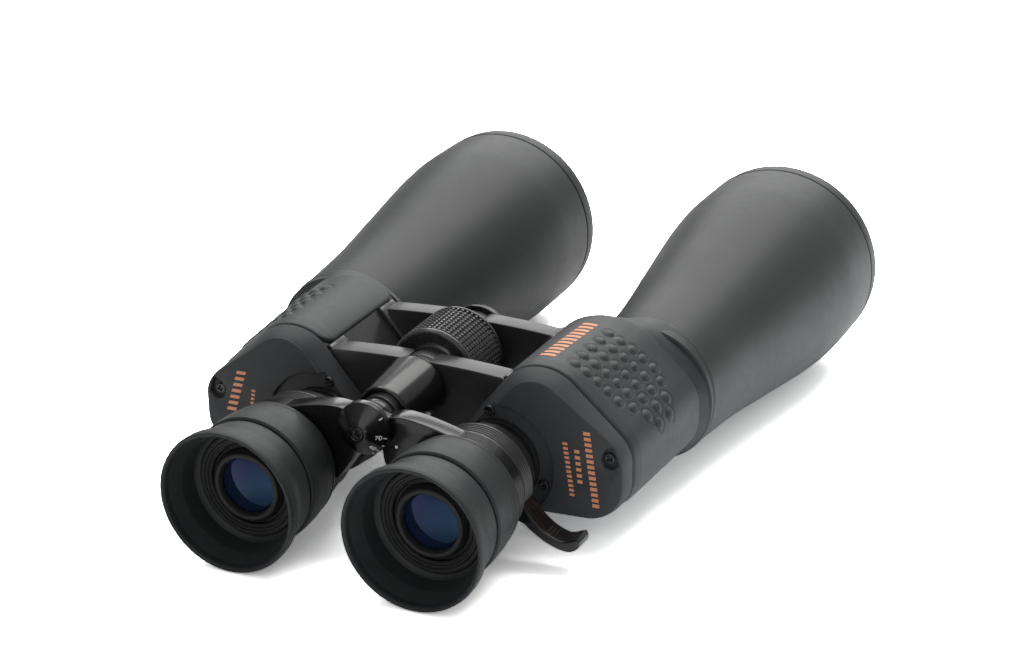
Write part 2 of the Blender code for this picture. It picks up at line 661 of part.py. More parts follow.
def build_eyepiece(hand, side, half):
    """One eyepiece on its carriage pivot, which is returned; only the right one has a dioptre."""
    eye = eye_axis(side)

    def eye_pivot(part, y, parent):
        return pivot(f"{hand}_{part}_axis", eye[0], y, eye[1], parent)

    carriage = eye_pivot("eyepiece", BRIDGE_MID_Y, half)
    zoom = eye_pivot("zoom", 53, carriage)
    cell = eye_pivot("zoom_cell", 53, carriage)
    eye_end = eye_cell = carriage
    grip_name = "_grip_ring"
    if side > 0:
        eye_end = eye_pivot("diopter", 30, carriage)
        eye_cell = eye_pivot("eye_cell", 20, carriage)
        grip_name = "_diopter_ring"
    build_bridge_arm(hand, side, carriage)
    build_eyepiece_tube(hand, eye, carriage)
    build_zoom_ring(hand, side, zoom)
    build_zoom_cell(hand, eye, cell)
    build_eye_end(hand, grip_name, eye, eye_end)
    build_eye_lens(hand, eye, eye_cell)
    return carriage


def build_ipd_dial(carriage):
    """Interpupillary dial at the rear end of the hinge axis, and its screw."""
    dial = [
        (33.2, 1.7), (33.2, 3.6), (31.9, 3.6), (31.6, 4.4), (32.4, 5.4),
        (36.6, 10.2), (39.3, 10.2), (39.3, 4.3), (35.9, 4.3), (35.9, 1.7),
    ]
    ring("ipd_dial", HINGE, dial, SEG_MID, GLOSS, carriage)
    screw = [
        (31.3, 0), (31.4, 2.2), (32.0, 3.3), (32.9, 3.3), (32.9, 1.4), (35.7, 1.4), (35.7, 0),
    ]
    ring("dial_screw", HINGE, screw, SEG_SMALL, STEEL, carriage)


# ---------------------------------------------------------------- assembly
def build_half(hand, side, hinge):
    """Everything on one side of the hinge; returns the eyepiece carriage."""
    half = pivot(hand + "_half_axis", 0, HINGE_Y, HINGE_Z, hinge)
    for build in (
        build_barrel, build_objective, build_housing, build_armour,
        build_rear_cover, build_prisms, build_focus_guide,
    ):
        build(hand, side, half)
    return build_eyepiece(hand, side, half)


hinge_pivot = pivot("hinge_axis", 0, HINGE_Y, HINGE_Z)
for build_part in (build_hinge_tube, build_tripod_mount, build_focus_wheel, build_focus_shaft):
    build_part(hinge_pivot)
build_half("right", 1, hinge_pivot)
left_carriage = build_half("left", -1, hinge_pivot)
build_ipd_dial(left_carriage)
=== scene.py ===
"""Astronomy binoculars with zoom eyepieces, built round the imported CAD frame.

They lie level along Y: eyecups at -Y, objectives at +Y, the right half at +X, Z up.
Shapes are drawn in mm, with y counted forwards from the eyecup rims.
"""

import json
import math

import bmesh
import bpy
import numpy as np
from mathutils import Matrix, Vector


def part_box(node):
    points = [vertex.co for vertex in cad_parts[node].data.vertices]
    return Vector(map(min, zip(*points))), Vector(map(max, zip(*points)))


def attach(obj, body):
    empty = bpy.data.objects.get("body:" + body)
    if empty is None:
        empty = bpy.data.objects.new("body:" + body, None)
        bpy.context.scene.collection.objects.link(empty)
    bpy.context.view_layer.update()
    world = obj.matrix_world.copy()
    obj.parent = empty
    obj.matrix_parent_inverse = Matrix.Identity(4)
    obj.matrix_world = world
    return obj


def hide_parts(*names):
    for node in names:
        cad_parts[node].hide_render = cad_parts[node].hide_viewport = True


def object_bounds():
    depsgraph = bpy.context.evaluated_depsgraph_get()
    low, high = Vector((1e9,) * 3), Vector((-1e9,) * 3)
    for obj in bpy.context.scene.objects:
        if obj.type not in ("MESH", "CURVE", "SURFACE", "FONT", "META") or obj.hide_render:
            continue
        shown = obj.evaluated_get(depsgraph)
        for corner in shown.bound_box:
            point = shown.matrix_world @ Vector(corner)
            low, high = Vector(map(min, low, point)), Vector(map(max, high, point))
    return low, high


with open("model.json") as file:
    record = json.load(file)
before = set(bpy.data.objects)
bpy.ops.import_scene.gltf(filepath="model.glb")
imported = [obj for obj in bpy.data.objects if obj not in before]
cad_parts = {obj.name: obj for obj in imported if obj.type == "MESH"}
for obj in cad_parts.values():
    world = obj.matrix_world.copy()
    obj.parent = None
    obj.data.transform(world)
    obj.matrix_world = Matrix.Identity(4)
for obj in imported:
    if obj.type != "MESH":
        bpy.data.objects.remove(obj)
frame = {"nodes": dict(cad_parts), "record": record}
CAD_BOX = [list(c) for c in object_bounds()]

MM = 0.001
MID = (CAD_BOX[1][1] - CAD_BOX[0][1]) / MM / 2      # y of the scene's origin
SIDES = (("right", 1), ("left", -1))


# ---------------------------------------------------------------- places, from the CAD
def centre(node):
    low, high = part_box(node)
    return [(a + b) / 2 / MM for a, b in zip(low, high)]


def span_y(node):
    low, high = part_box(node)
    return low[1] / MM + MID, high[1] / MM + MID


EYE_X, _, EYE_Z = centre("right_eyecup")
BARREL_X, _, BARREL_Z = centre("right_barrel")
HINGE_Z = centre("focus_wheel")[2]
HINGE = (0, HINGE_Z)
COVER_REAR, COVER_FRONT = span_y("right_rear_cover")


# ---------------------------------------------------------------- node trees
class Graph:
    """Short ways to fill a node tree. An input takes a value or another node's output."""

    def __init__(self, tree):
        self.tree = tree

    def feed(self, node, inputs):
        for key, value in inputs.items():
            if isinstance(value, bpy.types.NodeSocket):
                self.tree.links.new(value, node.inputs[key])
            else:
                node.inputs[key].default_value = value

    def node(self, kind, inputs=None, **settings):
        made = self.tree.nodes.new("ShaderNode" + kind)
        for key, value in settings.items():
            setattr(made, key, value)
        self.feed(made, inputs or {})
        return made

    def math(self, operation, *values, clamp=False):
        inputs = dict(enumerate(values))
        return self.node("Math", inputs, operation=operation, use_clamp=clamp).outputs[0]

    def noise(self, vector, scale, detail, roughness=0.5):
        inputs = {"Vector": vector, "Scale": scale, "Detail": detail, "Roughness": roughness}
        return self.node("TexNoise", inputs).outputs["Fac"]

    def remap(self, value, from_min, from_max, to_min, to_max):
        inputs = {"Value": value, "From Min": from_min, "From Max": from_max,
                  "To Min": to_min, "To Max": to_max}
        return self.node("MapRange", inputs).outputs["Result"]

    def vary(self, noise, low, high):
        """Spread the useful middle of a noise over a range."""
        return self.remap(noise, 0.3, 0.7, low, high)

    def mix(self, factor, first, second, blend="MIX"):
        inputs = {0: factor, 6: first, 7: second}      # factor and the two colour sockets
        return self.node("Mix", inputs, data_type="RGBA", blend_type=blend).outputs[2]

    def grey(self, tone):
        return self.node("CombineColor", {0: tone, 1: tone, 2: tone}).outputs[0]


def new_material(name):
    material = bpy.data.materials.new(name)
    material.use_nodes = True
    tree = material.node_tree
    return material, Graph(tree), tree.nodes["Principled BSDF"]


# ---------------------------------------------------------------- materials
def surface(name, colour, rough, metal=0.0, grain=1800.0, bump=0.12, bump_mm=0.03, tint=0.12,
            edge=0.5, spread=0.08, coat=0.0, coat_rough=0.1, specular=0.5,
            stretch=(1, 1, 1), sheen=0.0):
    """A moulded, painted or metal surface with fine grain and lighter worn edges.

    grain and stretch: noise scale of the bump; bump, bump_mm: its strength and depth;
    tint: colour drift; edge: strength of the wear; spread: drift of the roughness.
    """
    material, graph, shader = new_material(name)
    position = graph.node("TexCoord").outputs["Object"]
    grain_space = graph.node("Mapping", {"Vector": position, "Scale": stretch}).outputs["Vector"]
    fine = graph.noise(grain_space, scale=grain, detail=3.0, roughness=0.6)
    slow = graph.noise(position, scale=22.0, detail=4.0, roughness=0.55)
    medium = graph.noise(position, scale=240.0, detail=5.0, roughness=0.7)

    slow_shade = graph.vary(slow, 1 - tint, 1 + tint)
    medium_shade = graph.vary(medium, 1 - tint * 0.6, 1 + tint * 0.6)
    shade = graph.math("MULTIPLY", slow_shade, medium_shade)
    shaded = graph.mix(1.0, (*colour, 1), graph.grey(shade), blend="MULTIPLY")
    pointiness = graph.node("NewGeometry").outputs["Pointiness"]
    worn = graph.remap(pointiness, 0.52, 0.62, 0.0, edge)
    worn_colour = (*[min(1, c * 2.2 + 0.02) for c in colour], 1)
    relief = graph.node("Bump", {"Strength": bump, "Distance": bump_mm * MM, "Height": fine})
    rough_drift = graph.vary(medium, -spread, spread)
    graph.feed(shader, {
        "Base Color": graph.mix(worn, shaded, worn_colour),
        "Roughness": graph.math("ADD", rough_drift, rough, clamp=True),
        "Metallic": metal,
        "Specular IOR Level": specular,
        "Coat Weight": coat,
        "Coat Roughness": coat_rough,
        "Sheen Weight": sheen,
        "Sheen Roughness": 0.5,
        "Normal": relief.outputs["Normal"],
    })
    return material


RUBBER = surface(
    "rubber_armour", (0.028, 0.0305, 0.0325), 0.50, grain=2600, bump=0.5, bump_mm=0.05,
    tint=0.10, edge=0.35, spread=0.05, specular=0.34, sheen=0.03)
BARREL = surface(
    "rubber_barrel", (0.024, 0.0257, 0.0265), 0.47, grain=3000, bump=0.45, bump_mm=0.05,
    tint=0.08, edge=0.3, spread=0.04, specular=0.36, sheen=0.02)
CUP = surface(
    "eyecup_rubber", (0.021, 0.0228, 0.024), 0.50, grain=3200, bump=0.4, bump_mm=0.04,
    tint=0.10, edge=0.12, spread=0.05, specular=0.28, sheen=0.02)
COVER = surface(
    "cover_plastic", (0.042, 0.0435, 0.0465), 0.58, grain=3600, bump=0.45, bump_mm=0.04,
    tint=0.08, edge=0.3, spread=0.04, specular=0.22)
SATIN = surface(
    "satin_black_paint", (0.019, 0.019, 0.0195), 0.36, grain=2200, bump=0.3,
    tint=0.08, spread=0.03, specular=0.62)
GLOSS = surface(
    "gloss_black_paint", (0.005, 0.005, 0.0055), 0.23, grain=1500, bump=0.05, bump_mm=0.01,
    tint=0.05, edge=0.6, spread=0.012, coat=0.25, coat_rough=0.08, specular=0.4)
HOUSE = surface(
    "housing_black_paint", (0.010, 0.010, 0.011), 0.26, grain=1400, bump=0.2,
    tint=0.15, edge=0.8, spread=0.05, coat=0.3, coat_rough=0.12, specular=0.55)
KNURL = surface(
    "knurled_black_metal", (0.045, 0.045, 0.048), 0.26, metal=0.35, bump=0.15, bump_mm=0.02,
    tint=0.15, edge=0.6, spread=0.05, specular=0.7)
TURNED = surface(
    "turned_black_metal", (0.055, 0.055, 0.058), 0.3, metal=0.75, grain=900, bump=0.3,
    bump_mm=0.02, tint=0.15, edge=0.6, spread=0.06, stretch=(1, 14, 1))
SCREW = surface(
    "blackened_steel", (0.06, 0.06, 0.062), 0.32, metal=0.9, grain=2500, bump=0.3,
    bump_mm=0.02, tint=0.2, edge=0.8)
INNER = surface(
    "matte_inner_black", (0.012, 0.012, 0.013), 0.55, grain=2500, bump=0.4,
    tint=0.1, edge=0.4, specular=0.35)
WHITE = surface(
    "white_paint", (0.85, 0.85, 0.83), 0.5, grain=3000, bump=0.2, bump_mm=0.01,
    tint=0.05, edge=0.0)
ORANGE = surface(
    "orange_ink", (0.62, 0.25, 0.13), 0.5, grain=3000, bump=0.3, bump_mm=0.02,
    tint=0.08, edge=0.0)


def lens_material(name, deep, rim, coating):
    """Coated glass: the colour is painted darker where it faces the viewer and lighter towards
    the rim as a painted reflection, and the reflections are tinted by position.
    """
    material, graph, shader = new_material(name)
    coords = graph.node("TexCoord")
    facing = graph.node("LayerWeight", {"Blend": 0.35}).outputs["Facing"]
    noise = graph.noise(coords.outputs["Object"], scale=60.0, detail=2.0)
    # Painted reflection: how much of the lighter rim colour shows, growing as the glass turns
    # away from the viewer, with a little noise.
    painted_rim_reflection = graph.math("MULTIPLY_ADD", noise, 0.15, facing, clamp=True)
    # Painted reflection tint: the reflections turn from violet at the upper left to blue-green
    # at the lower right, set by position on the lens.
    split = graph.node("SeparateXYZ", {0: coords.outputs["Generated"]})
    across = graph.math("SUBTRACT", split.outputs["X"], split.outputs["Z"])
    red, green, blue = coating
    violet = (red * 0.8, green * 0.35, blue * 0.55, 1)
    blue_green = (red * 0.75, green * 1.15, blue, 1)
    turn = graph.remap(across, -0.55, 0.45, 0.0, 1.0)
    graph.feed(shader, {
        "Base Color": graph.mix(painted_rim_reflection, (*deep, 1), (*rim, 1)),
        "Roughness": graph.vary(noise, 0.03, 0.05),
        "IOR": 1.9,
        "Specular IOR Level": 0.9,
        "Specular Tint": graph.mix(turn, violet, blue_green),
        "Coat Weight": 0.12,
        "Coat Roughness": 0.02,
        "Coat Tint": (*coating, 1),
    })
    return material


LENS = lens_material(
    "coated_eye_glass",
    deep=(0.003, 0.006, 0.016), rim=(0.010, 0.022, 0.06), coating=(0.07, 0.16, 0.36))
OBJECTIVE_LENS = lens_material(
    "coated_objective_glass",
    deep=(0.004, 0.008, 0.010), rim=(0.012, 0.030, 0.034), coating=(0.10, 0.20, 0.24))
PRISM = lens_material(
    "prism_glass",
    deep=(0.3, 0.34, 0.35), rim=(0.6, 0.65, 0.66), coating=(0.9, 0.95, 1.0))


# ---------------------------------------------------------------- objects and meshes
def add_object(name, data):
    made = bpy.data.objects.new(name, data)
    bpy.context.scene.collection.objects.link(made)
    return made


def assign(made, look, body, slot, replaces=None):
    made.data.materials.clear()
    made.data.materials.append(look)
    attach(made, body)
    if replaces:
        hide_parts(replaces)


def soften(mesh, angle):
    mesh.shade_smooth()
    mesh.set_sharp_from_angle(angle=math.radians(angle))


def face_outwards(bm):
    bmesh.ops.recalc_face_normals(bm, faces=bm.faces)
    if bm.calc_volume(signed=True) < 0:
        bmesh.ops.reverse_faces(bm, faces=bm.faces)


def solid_mesh(name, verts, faces):
    mesh = bpy.data.meshes.new(name)
    points = np.asarray(verts, float) * MM
    points[:, 1] -= MID * MM
    mesh.from_pydata(points.tolist(), [], faces)
    bm = bmesh.new()
    bm.from_mesh(mesh)
    face_outwards(bm)
    bm.to_mesh(mesh)
    bm.free()
    return mesh


def make(name, verts, faces, look, body, slot, replaces=None, angle=32):
    mesh = solid_mesh(name, verts, faces)
    soften(mesh, angle)
    assign(add_object(name, mesh), look, body, slot, replaces)


def evaluated_mesh(source):
    bpy.context.view_layer.update()
    graph = bpy.context.evaluated_depsgraph_get()
    return bpy.data.meshes.new_from_object(source.evaluated_get(graph))


def curve_mesh(curve, merge, place):
    """Mesh of a curve, its points merged and moved: place(x, y, z) gives mm."""
    holder = add_object("outline", curve)
    mesh = evaluated_mesh(holder)
    bpy.data.objects.remove(holder, do_unlink=True)
    bm = bmesh.new()
    bm.from_mesh(mesh)
    bmesh.ops.remove_doubles(bm, verts=bm.verts, dist=merge)
    for vert in bm.verts:
        x, y, z = place(*vert.co)
        vert.co = (x * MM, (y - MID) * MM, z * MM)
    face_outwards(bm)
    bm.to_mesh(mesh)
    bm.free()
    mesh.name = curve.name
    return mesh


# ---------------------------------------------------------------- paths
def rounded(points, closed=True, steps=4):
    """Round each corner of a path of (u, v) or (u, v, radius) points."""
    out = []
    for i, (u, v, *fillet) in enumerate(points):
        radius = fillet[0] if fillet else 0.0
        if radius <= 0 or (not closed and i in (0, len(points) - 1)):
            out.append((u, v))
            continue
        before, after = points[i - 1], points[(i + 1) % len(points)]
        back_u, back_v = before[0] - u, before[1] - v
        on_u, on_v = after[0] - u, after[1] - v
        back_length, on_length = math.hypot(back_u, back_v), math.hypot(on_u, on_v)
        back_u, back_v = back_u / back_length, back_v / back_length
        on_u, on_v = on_u / on_length, on_v / on_length
        cosine = max(-1, min(1, back_u * on_u + back_v * on_v))
        half = math.acos(cosine) / 2
        if half > math.radians(88):      # all but straight
            out.append((u, v))
            continue
        reach = min(radius / math.tan(half), 0.48 * back_length, 0.48 * on_length)
        radius = reach * math.tan(half)
        mid_u, mid_v = back_u + on_u, back_v + on_v
        mid_length = math.hypot(mid_u, mid_v)
        centre_u = u + mid_u / mid_length * radius / math.sin(half)
        centre_v = v + mid_v / mid_length * radius / math.sin(half)
        first = math.atan2(v + back_v * reach - centre_v, u + back_u * reach - centre_u)
        last = math.atan2(v + on_v * reach - centre_v, u + on_u * reach - centre_u)
        turn = (last - first + math.pi) % (2 * math.pi) - math.pi
        for k in range(steps + 1):
            a = first + turn * k / steps
            out.append((centre_u + radius * math.cos(a), centre_v + radius * math.sin(a)))
    return out


def smooth_path(points, per=8, closed=True):
    """Catmull-Rom curve through the points, with per steps between neighbours."""
    out = []
    count = len(points)
    for i in range(count if closed else count - 1):
        before = points[(i - 1) % count] if closed or i > 0 else points[0]
        here = points[i]
        there = points[(i + 1) % count]
        after = points[(i + 2) % count] if closed or i + 2 < count else points[-1]
        for k in range(per):
            t = k / per
            out.append(tuple(
                0.5 * (2 * b + (c - a) * t + (2 * a - 5 * b + 4 * c - d) * t * t
                       + (3 * b - a - 3 * c + d) * t ** 3)
                for a, b, c, d in zip(before, here, there, after)))
    if not closed:
        out.append(tuple(points[-1]))
    return out


def circle(cx, cz, r, count):
    angles = [2 * math.pi * k / count for k in range(count)]
    return [(cx + r * math.cos(a), cz + r * math.sin(a)) for a in angles]


def arc(cx, cz, r, degrees):
    angles = [math.radians(d) for d in degrees]
    return [(cx + r * math.cos(a), cz + r * math.sin(a)) for a in angles]


def mirror(points, side):
    return [(side * x, z) for x, z in points]


def repeated(shape, first, pitch, count):
    """Repeat (dy, r, fillet) points along a lathe profile."""
    return [(first + k * pitch + dy, r, fillet)
            for k in range(count) for dy, r, fillet in shape]


def dome(pole, sag, radius, steps):
    """Parabolic (y, r) profile from the axis outwards."""
    return [(pole + sag * (k / steps) ** 2, radius * k / steps) for k in range(steps + 1)]


def outward_normals(loop):
    """Unit normals of a counter-clockwise closed path."""
    tangent = unit(np.roll(loop, -1, 0) - np.roll(loop, 1, 0))
    return np.stack([tangent[:, 1], -tangent[:, 0]], 1)


def unit(vectors):
    return vectors / np.hypot(vectors[:, 0], vectors[:, 1])[:, None]


def radii_about(middle, angles, points):
    """Distance from middle to a closed path, read at the given angles."""
    offsets = np.array(points) - np.array(middle)
    bearing = np.arctan2(offsets[:, 1], offsets[:, 0]) % (2 * math.pi)
    distance = np.hypot(offsets[:, 0], offsets[:, 1])
    order = np.argsort(bearing)
    return np.interp(angles, bearing[order], distance[order], period=2 * math.pi)


# ---------------------------------------------------------------- solids
def walls(rings, count):
    """Faces between successive rings of count points."""
    return [(i * count + k, i * count + (k + 1) % count,
             (i + 1) * count + (k + 1) % count, (i + 1) * count + k)
            for i in range(rings - 1) for k in range(count)]


def capped_walls(rings, count):
    caps = [range(count), range((rings - 1) * count, rings * count)]
    return walls(rings, count) + [list(cap) for cap in caps]


def station_solid(stations, side):
    """Vertices and faces of a solid through (y, outline) stations of equal point count."""
    verts = [(side * x, y, z) for y, points in stations for x, z in points]
    return verts, capped_walls(len(stations), len(stations[0][1]))


def slab_faces(rows, columns):
    """Faces of a closed slab: two layers of rows x columns points and the rim between."""
    base = rows * columns
    faces = []
    for i in range(rows - 1):
        for j in range(columns - 1):
            a = i * columns + j
            face = (a, a + columns, a + columns + 1, a + 1)
            faces.append(face)
            faces.append((base + a, base + a + 1, base + a + columns + 1, base + a + columns))
    for i in range(rows - 1):
        a = i * columns
        faces.append((a, base + a, base + a + columns, a + columns))
        a += columns - 1
        faces.append((a, a + columns, base + a + columns, base + a))
    for j in range(columns - 1):
        faces.append((j, j + 1, base + j + 1, base + j))
        a = (rows - 1) * columns + j
        faces.append((a, base + a, base + a + 1, a + 1))
    return faces


def inlay(name, place, u_range, v_range, cells, lifts, look, body, slot, slant=0.0):
    """A thin slab on a surface: place(u, v, lift) gives the point."""
    (u0, u1), (v0, v1), (u_cells, v_cells) = u_range, v_range, cells
    verts = []
    for lift in lifts:
        for i in range(u_cells + 1):
            for j in range(v_cells + 1):
                v = v0 + (v1 - v0) * j / v_cells
                u = u0 + (u1 - u0) * i / u_cells + slant * (v - v0)
                verts.append(place(u, v, lift))
    make(name, verts, slab_faces(u_cells + 1, v_cells + 1), look, body, slot)


def lathe(name, axis, profile, look, body, slot, replaces=None, seg=96, steps=4, angle=32):
    """Turn a (y, r[, fillet]) profile about the Y-parallel axis through (x, z)."""
    cx, cz = axis
    solid = profile[0][1] < 1e-6 and profile[-1][1] < 1e-6
    angles = np.linspace(0, 2 * math.pi, seg, endpoint=False)
    verts, rings = [], []
    for y, r in rounded(profile, closed=not solid, steps=steps):
        start = len(verts)
        if r < 1e-6:
            verts.append((cx, y, cz))
        else:
            verts += [(cx + r * math.cos(a), y, cz + r * math.sin(a)) for a in angles]
        rings.append(range(start, len(verts)))
    pairs = list(zip(rings, rings[1:]))
    if not solid:
        pairs.append((rings[-1], rings[0]))
    faces = []
    for a, b in pairs:
        for k in range(seg):
            n = (k + 1) % seg
            corners = (a[k % len(a)], a[n % len(a)], b[n % len(b)], b[k % len(b)])
            face = list(dict.fromkeys(corners))      # a triangle where a ring is a point
            if len(face) > 2:
                faces.append(face)
    make(name, verts, faces, look, body, slot, replaces, angle)


def plate(name, outlines, y0, y1, bevel, look, body, slot, replaces=None):
    """A flat round-edged plate in the X-Z plane; outlines after the first are holes."""
    curve = bpy.data.curves.new(name, "CURVE")
    curve.dimensions = "2D"
    curve.fill_mode = "BOTH"
    for points in outlines:
        spline = curve.splines.new("POLY")
        spline.points.add(len(points) - 1)
        for point, (x, z) in zip(spline.points, points):
            point.co = (x, z, 0, 1)
        spline.use_cyclic_u = True
    curve.extrude = (y1 - y0) / 2 - bevel
    curve.bevel_depth = bevel
    curve.bevel_resolution = 3
    curve.offset = -bevel
    middle = (y0 + y1) / 2
    mesh = curve_mesh(curve, merge=1e-3, place=lambda x, y, z: (x, middle - z, y))
    soften(mesh, 32)
    assign(add_object(name, mesh), look, body, slot, replaces)


# ---------------------------------------------------------------- housing outline
# Corners of the right housing, counter-clockwise from the lower inner one: (x, z, radius).
CORNERS = (
    (17.2, 19.6, 16.0), (86.8, 22.0, 16.0), (86.8, 49.7, 14.0), (49.4, 83.9, 19.0),
    (17.2, 44.7, 4.0))
TOP_CORNER = 3


def outline(offsets, arc_steps=16, step=1.2, corners=CORNERS, top_ease=0.0):
    """Rounded outline with each side moved out by its offset, cut into steps."""
    count = len(corners)
    if not isinstance(offsets, tuple):
        offsets = (offsets,) * count
    lines = []
    for i in range(count):
        x0, z0, _ = corners[i]
        x1, z1, _ = corners[(i + 1) % count]
        length = math.hypot(x1 - x0, z1 - z0)
        dx, dz = (x1 - x0) / length, (z1 - z0) / length
        lines.append((x0 + dz * offsets[i], z0 - dx * offsets[i], dx, dz))
    points = []
    for i in range(count):
        ax, az, adx, adz = lines[i - 1]
        bx, bz, bdx, bdz = lines[i]
        cross = adx * bdz - adz * bdx
        along = ((bx - ax) * bdz - (bz - az) * bdx) / cross
        corner_x, corner_z = ax + adx * along, az + adz * along
        radius = max(corners[i][2] + (offsets[i - 1] + offsets[i]) / 2, 0.8)
        radius += top_ease if i == TOP_CORNER else 0.0
        turn = math.atan2(cross, adx * bdx + adz * bdz)
        reach = radius * math.tan(turn / 2)
        start_x, start_z = corner_x - adx * reach, corner_z - adz * reach
        cx, cz = start_x - adz * radius, start_z + adx * radius
        first = math.atan2(start_z - cz, start_x - cx)
        for k in range(arc_steps + 1):
            a = first + turn * k / arc_steps
            points.append((cx + radius * math.cos(a), cz + radius * math.sin(a)))
    out = []
    for i, a in enumerate(points):
        b = points[(i + 1) % len(points)]
        parts = max(1, int(math.hypot(b[0] - a[0], b[1] - a[1]) / step))
        for k in range(parts):
            out.append((a[0] + (b[0] - a[0]) * k / parts, a[1] + (b[1] - a[1]) * k / parts))
    return out


# ---------------------------------------------------------------- barrels and objectives
# Outside of the barrel, front shoulder to objective: (y, r).
BELL = [
    (139.4, 27.35), (143.0, 27.45), (146.3, 27.65), (150, 28.0), (158, 28.7), (170, 29.7),
    (182, 30.9), (195, 32.6), (208, 34.5), (221, 36.3), (234, 38.2), (247, 40.0), (258, 41.2),
    (267, 41.9), (276, 42.0), (284, 41.95), (291.7, 41.8)]
BELL_INSIDE = [
    (291.7, 39.3, 0.4), (286.0, 38.6), (262.0, 38.4), (225.0, 34.0), (190.0, 28.8),
    (150.0, 24.6), (138.0, 19.8)]
OBJECTIVE_RIM = [
    (286.0, 36.1), (286.0, 38.2), (291.9, 38.2), (292.0, 41.2, 0.3), (292.5, 41.85, 0.4),
    (296.0, 41.8), (299.9, 41.3, 1.4), (299.95, 38.9, 0.9), (298.8, 38.0, 0.4),
    (298.6, 37.2, 0.3), (297.4, 36.6, 0.3), (297.2, 34.8, 0.3), (296.5, 34.6), (296.4, 36.1)]
OBJECTIVE_R = 35.6


def barrel(word, side):
    axis, half = (side * BARREL_X, BARREL_Z), word + "_half"
    outside = smooth_path(BELL, per=5, closed=False)[1:-1]
    skin = [(138.0, 21.9), (139.3, 21.9), (139.4, 26.8, 0.4)] + outside
    skin += [(291.7, 41.8, 0.5)] + BELL_INSIDE
    lathe(word + "_barrel_skin", axis, skin, BARREL, half, "rubber_armour",
          word + "_barrel", seg=160, angle=40)
    lathe(word + "_objective_rim", axis, OBJECTIVE_RIM, BARREL, half, "rubber_armour",
          word + "_objective_ring", seg=160)
    front = dome(296.0, -3.6, OBJECTIVE_R, 10)
    rear = dome(288.2, 2.4, OBJECTIVE_R, 8)[-2::-1]
    glass = front + [(291.6, 35.7, 0.2), (290.9, OBJECTIVE_R)] + rear
    lathe(word + "_objective_front_glass", axis, glass, OBJECTIVE_LENS, half,
          "coated_glass", word + "_objective_crown", angle=50)


# ---------------------------------------------------------------- eyepieces
# Lathe profiles: (y, r[, fillet]).
EYECUP_R = 27.2
EYECUP = [
    (19.2, 20.3), (19.2, 23.6, 0.3), (18.9, 24.0, 0.3), (12.6, 24.45, 2.0), (10.2, 24.8, 0.5),
    (9.7, 25.2, 0.4), (8.0, 25.7, 0.5), (7.4, 26.25, 0.4), (5.6, 26.6, 0.4), (5.0, 26.95, 0.4),
    (1.6, EYECUP_R, 0.9), (0.05, 26.9, 0.9), (0.05, 26.0, 0.9), (0.9, 25.35, 0.5),
    (3.0, 25.1, 0.4), (8.4, 22.7, 0.25), (15.6, 22.2, 0.4), (16.4, 21.4, 0.3),
    (17.0, 20.3, 0.2)]
GRIP_RING = [
    (16.6, 18.6), (16.6, 20.0, 0.2), (19.9, 20.0), (19.9, 24.0, 0.3), (20.5, 24.8, 0.6),
    (24.0, 24.85, 4), (31.0, 24.4, 4), (36.6, 23.4, 0.3), (37.0, 23.6, 0.2),
    (38.6, 23.35, 0.5), (39.3, 22.6, 0.3), (39.3, 18.6)]
# The rear of the tube is a stepped funnel inside the eyecup.
TUBE = [
    (19.9, 18.3), (17.2, 18.3, 0.2), (17.0, 20.0, 0.2), (16.5, 20.0, 0.2), (16.3, 19.3, 0.2),
    (17.0, 19.0, 0.2), (17.0, 18.2, 0.2), (16.5, 18.0, 0.2), (16.5, 17.2, 0.2),
    (17.3, 16.9, 0.2), (17.3, 16.1, 0.2), (16.8, 15.8, 0.2), (16.8, 15.5, 0.1), (46.0, 15.5),
    (46.0, 12.2), (75.8, 12.2), (75.8, 14.6, 0.3), (47.6, 14.6), (47.6, 18.3)]
EYE_LENS_RING = [
    (27.0, 12.9), (27.0, 15.2, 0.2), (17.9, 15.2, 0.2), (17.7, 14.2, 0.2), (16.4, 14.0, 0.3),
    (15.6, 13.5, 0.3), (14.5, 13.1, 0.35), (14.2, 12.5, 0.25), (14.3, 11.4, 0.3),
    (15.4, 10.9, 0.2), (16.9, 10.7, 0.1), (17.2, 12.9)]
EYE_GLASS = (dome(15.5, 1.5, 10.55, 12) + [(17.35, 10.7), (17.5, 12.6), (22.6, 12.6)]
             + dome(24.4, -1.8, 12.6, 8)[-2::-1])
CLAMP_GROOVE = ((0, 21.3, 0.12), (0.2, 20.95, 0.1), (0.45, 20.95, 0.1), (0.65, 21.3, 0.12))
CLAMP_RING = (
    [(40.1, 18.6), (40.1, 20.6, 0.3), (40.5, 21.3, 0.3)]
    + repeated(CLAMP_GROOVE, first=41.3, pitch=1.0, count=6)
    + [(47.5, 21.3, 0.3), (47.9, 20.7, 0.3), (47.9, 18.6)])
ZOOM_GROOVE = ((0, 20.3, 0.12), (0.3, 19.85, 0.1), (0.65, 19.85, 0.1), (0.95, 20.3, 0.12))
ZOOM_RING = (
    [(48.3, 14.9), (48.3, 19.7, 0.3), (48.8, 20.3, 0.3)]
    + repeated(ZOOM_GROOVE, first=49.8, pitch=1.35, count=5)
    + [(57.1, 20.3, 0.3), (57.6, 19.7, 0.3), (57.8, 17.9, 0.3), (63.5, 17.8, 0.3),
       (63.8, 17.4, 0.2), (63.8, 14.9)])

# Bridge web, right side: (x, z).
WEB_TOP = [(7.2, 62.9), (11.6, 64.0), (17.0, 63.9), (24.5, 62.6), (31.0, 61.0)]
WEB_UNDER = [(12.6, 36.0), (8.6, 41.6), (6.2, 45.4), (5.4, 50.4)]


